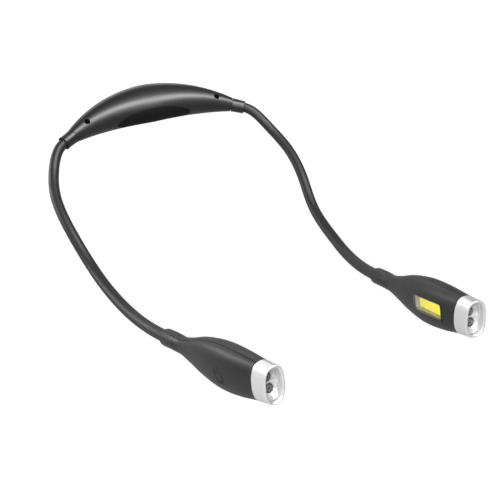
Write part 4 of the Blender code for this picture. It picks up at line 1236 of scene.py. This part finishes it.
def make_head_collars():
    """Rounded rear ends of the heads, round the sleeves."""
    spigot = HEAD_COLLAR_RADIUS - HEAD_WALL - SEAT_GAP
    bore = SLEEVE_RADIUS + SEAT_GAP / 2
    edge = HEAD_COLLAR_RADIUS - bore
    bevel = SEAT_GAP / 3
    length = HEAD_COLLAR_LENGTH
    end = length + HEAD_COLLAR_SPIGOT
    web = length - HEAD_COLLAR_WEB
    turns = spread(pi / 2, 0, EDGE_STEPS)
    profile = [(edge * (1 - sin(a)), bore + edge * cos(a)) for a in turns]
    profile += [
        (length - bevel, HEAD_COLLAR_RADIUS), (length, HEAD_COLLAR_RADIUS - bevel),
        (length, spigot), (end, spigot), (end, WIRE_HOLE_RADIUS), (web, WIRE_HOLE_RADIUS),
        (web, bore),
    ]
    form = turned(head_point(0, 0, 0), head_axes()[0], profile)
    ring = new_piece("neck", form, "soft_touch_black", wrap=True)
    fit_pair("head_neck", ring, "head_black", "head_collar")


def make_nose_rings():
    """Satin silver rings with a rounded lip and a stepped bore."""
    rear = BEZEL_REAR + SEAT_GAP
    ledge = HEAD_LENGTH - REFLECTOR_DEPTH - REFLECTOR_FLOOR - SEAT_GAP
    inner_end = BEZEL_REAR - BEZEL_SPIGOT_LENGTH
    straight_end = HEAD_LENGTH - NOSE_ROUND
    rows = [(inner_end, HEAD_WALL + SEAT_GAP, 0), (rear, HEAD_WALL + SEAT_GAP, 1)]
    rows += [(rear, SEAT_GAP, 1), (rear + SEAT_GAP, 0, 1)]
    rows += [(along, 0, 1) for along in spread(rear + SEAT_GAP, straight_end, NOSE_STEPS)[1:]]
    for turn in spread(0, pi / 2, LIP_STEPS)[1:]:
        along = HEAD_LENGTH - NOSE_ROUND * (1 - sin(turn))
        rows.append((along, NOSE_ROUND * (1 - cos(turn)), 1))
    rows += [(HEAD_LENGTH, NOSE_LIP, 1), (HEAD_LENGTH - BEZEL_CHAMFER, BEZEL_RIM, 1)]
    rows += [(ledge, BEZEL_RIM, 0), (ledge, BEZEL_BORE_INSET, 0), (inner_end, BEZEL_BORE_INSET, 0)]
    ring = new_piece("nose", [head_ring(*row) for row in rows], "satin_silver", wrap=True)
    fit_pair("nose_ring", ring, "bezel_silver", "bezel")


def cavity_edge(angle, centre_up, inset, along):
    """Where a ray from an LED's middle meets the cavity's wall or the middle line."""
    half_height, half_width, middle, squareness = head_shape(along)
    half_width -= inset
    half_height -= inset
    sine, cosine = sin(angle), cos(angle)
    low, high = 0.0, half_height * 2
    for _ in range(HALVINGS):
        reach = (low + high) / 2
        out = abs(reach * cosine) / half_width
        up = abs(centre_up + reach * sine - middle) / half_height
        if out**squareness + up**squareness > 1:
            high = reach
        else:
            low = reach
    return min(low, -centre_up / sine) if sine * centre_up < 0 else low


def make_reflectors():
    """Two bright bowls that meet in a ridge, inside one oval tray."""
    floor = HEAD_LENGTH - REFLECTOR_DEPTH
    back = floor - REFLECTOR_FLOOR
    front = HEAD_LENGTH - BEZEL_RIM - LENS_THICKNESS - SEAT_GAP
    edge = BEZEL_RIM + SEAT_GAP
    inner = edge + REFLECTOR_WALL
    hole = LED_HOLE_RADIUS
    sides = 2 * ROUND_SIDES
    mesh = bmesh.new()
    for centre_up in (LED_SPACING / 2, -LED_SPACING / 2):
        rows = [[] for _ in range(BOWL_STEPS + 2)]
        top = []
        for i in range(sides):
            angle = 2 * pi * i / sides + BOWL_TURN
            cosine, sine = cos(angle), sin(angle)
            reach = cavity_edge(angle, centre_up, inner, floor)
            behind = head_point(back, hole * cosine, centre_up + hole * sine)
            rows[0].append(mesh.verts.new(behind))
            for k, row in enumerate(rows[1:]):
                radius = max(hole + (reach - hole) * k / BOWL_STEPS, hole * (1 + BOWL_GROWTH * k))
                climb = (radius**2 - hole**2) / (BOWL_REACH**2 - hole**2)
                up = centre_up + radius * sine
                along = floor + (front + NOSE_RAKE * up - floor) * min(1.0, climb)
                row.append(mesh.verts.new(head_point(along, radius * cosine, up)))
            if sine * centre_up < 0 and reach * abs(sine) > abs(centre_up) * BOWL_MATCH:
                top.append(None)
            else:
                lip = raked_point(front, reach * cosine, centre_up + reach * sine)
                top.append(mesh.verts.new(lip))
        for low, high in zip(rows, rows[1:]):
            bridge(mesh, low, high)
        for i in range(sides):
            j = (i + 1) % sides
            if top[i] is not None and top[j] is not None:
                mesh.faces.new((rows[-1][i], rows[-1][j], top[j], top[i]))
    bowls = new_piece("bowls", mesh, "bright_reflector")
    lining = inner - SEAT_GAP
    rows = ((back, lining, 0), (back, edge, 0), (front, edge, 1), (front, lining, 1))
    tray = new_piece("tray", [head_ring(*row) for row in rows], "bright_reflector", wrap=True)
    fit_pair("reflector_bowls", bowls, "reflector_chrome", "reflector")
    fit_pair("reflector_tray", tray, "reflector_chrome")


def make_leds():
    """Round-nosed LEDs in dark holders, with a small chip in the middle of each dome."""
    forward = head_axes()[0]
    floor = HEAD_LENGTH - REFLECTOR_DEPTH
    base = floor - REFLECTOR_FLOOR - 2 * SEAT_GAP
    ring_front = floor - SEAT_GAP
    dome = LED_HOLDER_RADIUS
    profile = [
        (base, LED_RADIUS), (ring_front - SEAT_GAP, LED_RADIUS),
        (ring_front, LED_RADIUS - SEAT_GAP), (ring_front, dome),
    ]
    for turn in spread(0, pi / 2, DOME_STEPS)[:-1]:
        along = ring_front - SEAT_GAP + dome * DOME_RISE_SHARE * sin(turn)
        profile.append((along, dome * cos(turn)))
    for name, place in (("upper", 1), ("lower", -1)):
        origin = head_point(0, 0, place * LED_SPACING / 2)
        form = turned(origin, forward, profile, SMALL_SIDES)
        led = new_piece("led", form, "led_holder", "led_dome", "led_chip")
        for face in led.data.polygons:
            offset = face.center - origin
            along = offset.dot(forward)
            radius = (offset - forward * along).length
            if along > ring_front - SEAT_GAP and radius < dome:
                face.material_index = 2 if radius < LED_CHIP_RADIUS else 1
        fit_pair(f"{name}_spot_led", led, "led_resin", f"{name}_led")


def make_lenses():
    """Clear oval covers inside the silver lips."""
    front = HEAD_LENGTH - BEZEL_RIM
    edge = BEZEL_RIM + SEAT_GAP
    bevel = SEAT_GAP / 2
    rows = ((front - LENS_THICKNESS, edge), (front - bevel, edge), (front, edge + bevel))
    lens = new_piece("lens", [head_ring(*row) for row in rows], "clear_lens")
    fit_pair("spot_cover", lens, "clear_plastic", "spot_lens")


def make_rib_tree():
    """Geometry Nodes tree that repeats a small rib along a straight run."""
    tree, entry, leave = make_group(
        "ribs_in_a_row", "Geometry",
        (("Rib", "Geometry"), ("Count", "Int"), ("Pitch", "Vector"), ("Finish", "Material")),
        (("Ribs", "Geometry"),),
    )
    row = add_node(tree, "MeshLine", mode="OFFSET")
    repeat = add_node(tree, "InstanceOnPoints")
    wire(
        tree,
        (entry, "Count", row, "Count"), (entry, "Pitch", row, "Offset"),
        (row, 0, repeat, "Points"), (entry, "Rib", repeat, "Instance"),
    )
    finish_group(tree, entry, leave, repeat)
    return tree


def make_strip_lamps():
    """Clear window with a frosted, ribbed skirt over the yellow strip."""
    floor = well_floor()
    wall = wall_patch(STRIP_MIDDLE, WINDOW_LENGTH / 2 + OVERRUN, pi, WINDOW_THICKNESS)
    window = new_piece("window", wall, "clear_window")
    shape = side_prism("window_shape", STRIP_MIDDLE, 0, window_outline(0), -floor, -HEAD_WIDTH)
    carve(window, ("INTERSECT", shape))
    fit_pair("strip_cover", window, "clear_plastic", "strip_window")
    near = -(floor + BOARD_THICKNESS)
    far = -(head_shape(STRIP_MIDDLE)[1] - WINDOW_THICKNESS - HEAD_WALL / 2)
    outer, inner = window_outline(0), window_outline(-SKIRT_THICKNESS)
    loops = ((outer, near), (outer, far), (inner, far), (inner, near))
    rings = [side_ring(STRIP_MIDDLE, 0, loop, out) for loop, out in loops]
    skirt = new_piece("skirt", rings, "frosted_skirt", wrap=True)
    fit_pair("strip_skirt", skirt, "clear_plastic")
    tree = make_rib_tree()
    pitch = (WINDOW_LENGTH - 2 * WINDOW_CORNER) / RIB_COUNT
    start = -pitch * (RIB_COUNT - 1) / 2
    finish = FINISHES["frosted_skirt"]
    values = {"Count": RIB_COUNT, "Pitch": head_axes()[0] * pitch, "Finish": finish}
    for name, side in (("lower", -1), ("upper", 1)):
        wall = side * (WINDOW_HEIGHT / 2 - SKIRT_THICKNESS)
        depth = side * RIB_DEPTH
        section = (
            (start - pitch / 4, wall), (start, wall - depth), (start + pitch / 4, wall),
            (start, wall + depth),
        )
        rib = side_prism("rib", STRIP_MIDDLE, 0, section, near, far, "frosted_skirt")
        grow(rib, tree, values)
        fit_pair(f"{name}_skirt_ribs", rib, "clear_plastic")
    base = floor + BOARD_THICKNESS + SEAT_GAP
    rings = []
    for lift, inset in GEL_ROWS:
        trim = 2 * inset * STRIP_THICKNESS
        outline = rounded_outline(STRIP_LENGTH - trim, STRIP_HEIGHT - trim)
        rings.append(side_ring(STRIP_MIDDLE, 0, outline, -(base + lift * STRIP_THICKNESS)))
    # The gel takes the yellow finish with its painted glow.
    gel = new_piece("gel", rings, "strip_gel_painted_glow")
    fit_pair("strip_gel_painted_glow", gel, "strip_phosphor", "strip_phosphor")


def icon_cutters():
    """A broken ring and a short bar, the usual sign for power, as thin cutters."""
    surface = head_shape(BUTTON_PLACE)[1]
    low, high = surface - ICON_DEPTH, surface + OVERRUN
    half = ICON_LINE / 2
    rings = []
    for angle in spread(*ICON_ARC, ICON_STEPS):
        ring = []
        for offset, out in ((-half, low), (half, low), (half, high), (-half, high)):
            radius = ICON_RADIUS + offset
            spot = (radius * cos(angle), radius * sin(angle))
            ring += side_ring(BUTTON_PLACE, BUTTON_DROP, (spot,), out)
        rings.append(ring)
    arc = new_piece("icon_arc", rings)
    foot, tip = (share * ICON_RADIUS for share in ICON_BAR_SHARES)
    outline = ((-half, foot), (half, foot), (half, tip), (-half, tip))
    return arc, side_prism("icon_bar", BUTTON_PLACE, BUTTON_DROP, outline, low, high)


def make_buttons():
    """Round caps flush with the outer shells, with the power sign sunk into them and its floor
    darkened as painted shade.
    """
    wall = wall_patch(BUTTON_PLACE, BUTTON_RADIUS + OVERRUN, 0, HEAD_WALL)
    cap = new_piece("cap", wall, "soft_touch_black", "pad_rubber")
    shape = button_form("cap_shape", BUTTON_RADIUS, HEAD_SEAM_OFFSET, HEAD_WIDTH)
    arc, bar = icon_cutters()
    surface = head_shape(BUTTON_PLACE)[1]
    near = surface - HEAD_WALL - BUTTON_STEM_LENGTH
    stem = button_form("stem", BUTTON_STEM_RADIUS, near, surface - HEAD_WALL / 2, SMALL_SIDES)
    carve(cap, ("INTERSECT", shape), ("UNION", stem), ("DIFFERENCE", arc), ("DIFFERENCE", bar))
    # The sign's floor takes the darker, rougher pad rubber; its darker colour is painted shade in
    # the groove.
    outward = head_axes()[1]
    for face in cap.data.polygons:
        out = (face.center - head_point(0, 0, 0)).dot(outward)
        face.material_index = int(abs(out - surface + ICON_DEPTH) < ICON_DEPTH / 10)
    fit_pair("power_key", cap, "head_black", "power_button", body="{}_power_button")


def paint_solids():
    """Finishes for the solids that stay: the plates, boards, anchors and switches."""
    wanted = {
        "battery_contact": "plated_steel", "arm_anchor": "plated_steel",
        "led_board": "white_board", "strip_board": "white_board",
        "switch_board": "green_board", "tactile_switch": "switch_body",
    }
    for name, node in frame["nodes"].items():
        for ending, finish in wanted.items():
            if name.endswith(ending):
                node.data.materials.clear()
                node.data.materials.append(FINISHES[finish])


def main():
    """Dress the light and set the studio."""
    set_camera()
    set_world()
    make_floor()
    for values in LAMPS:
        add_softbox(*values)
    make_finishes()
    for make in (
        make_housing, make_screws, make_housing_collars, make_cells, make_sleeves,
        make_head_shells, make_head_collars, make_nose_rings, make_reflectors, make_leds,
        make_lenses, make_strip_lamps, make_buttons, paint_solids,
    ):
        make()
    bpy.context.scene.view_settings.view_transform = "Standard"


main()
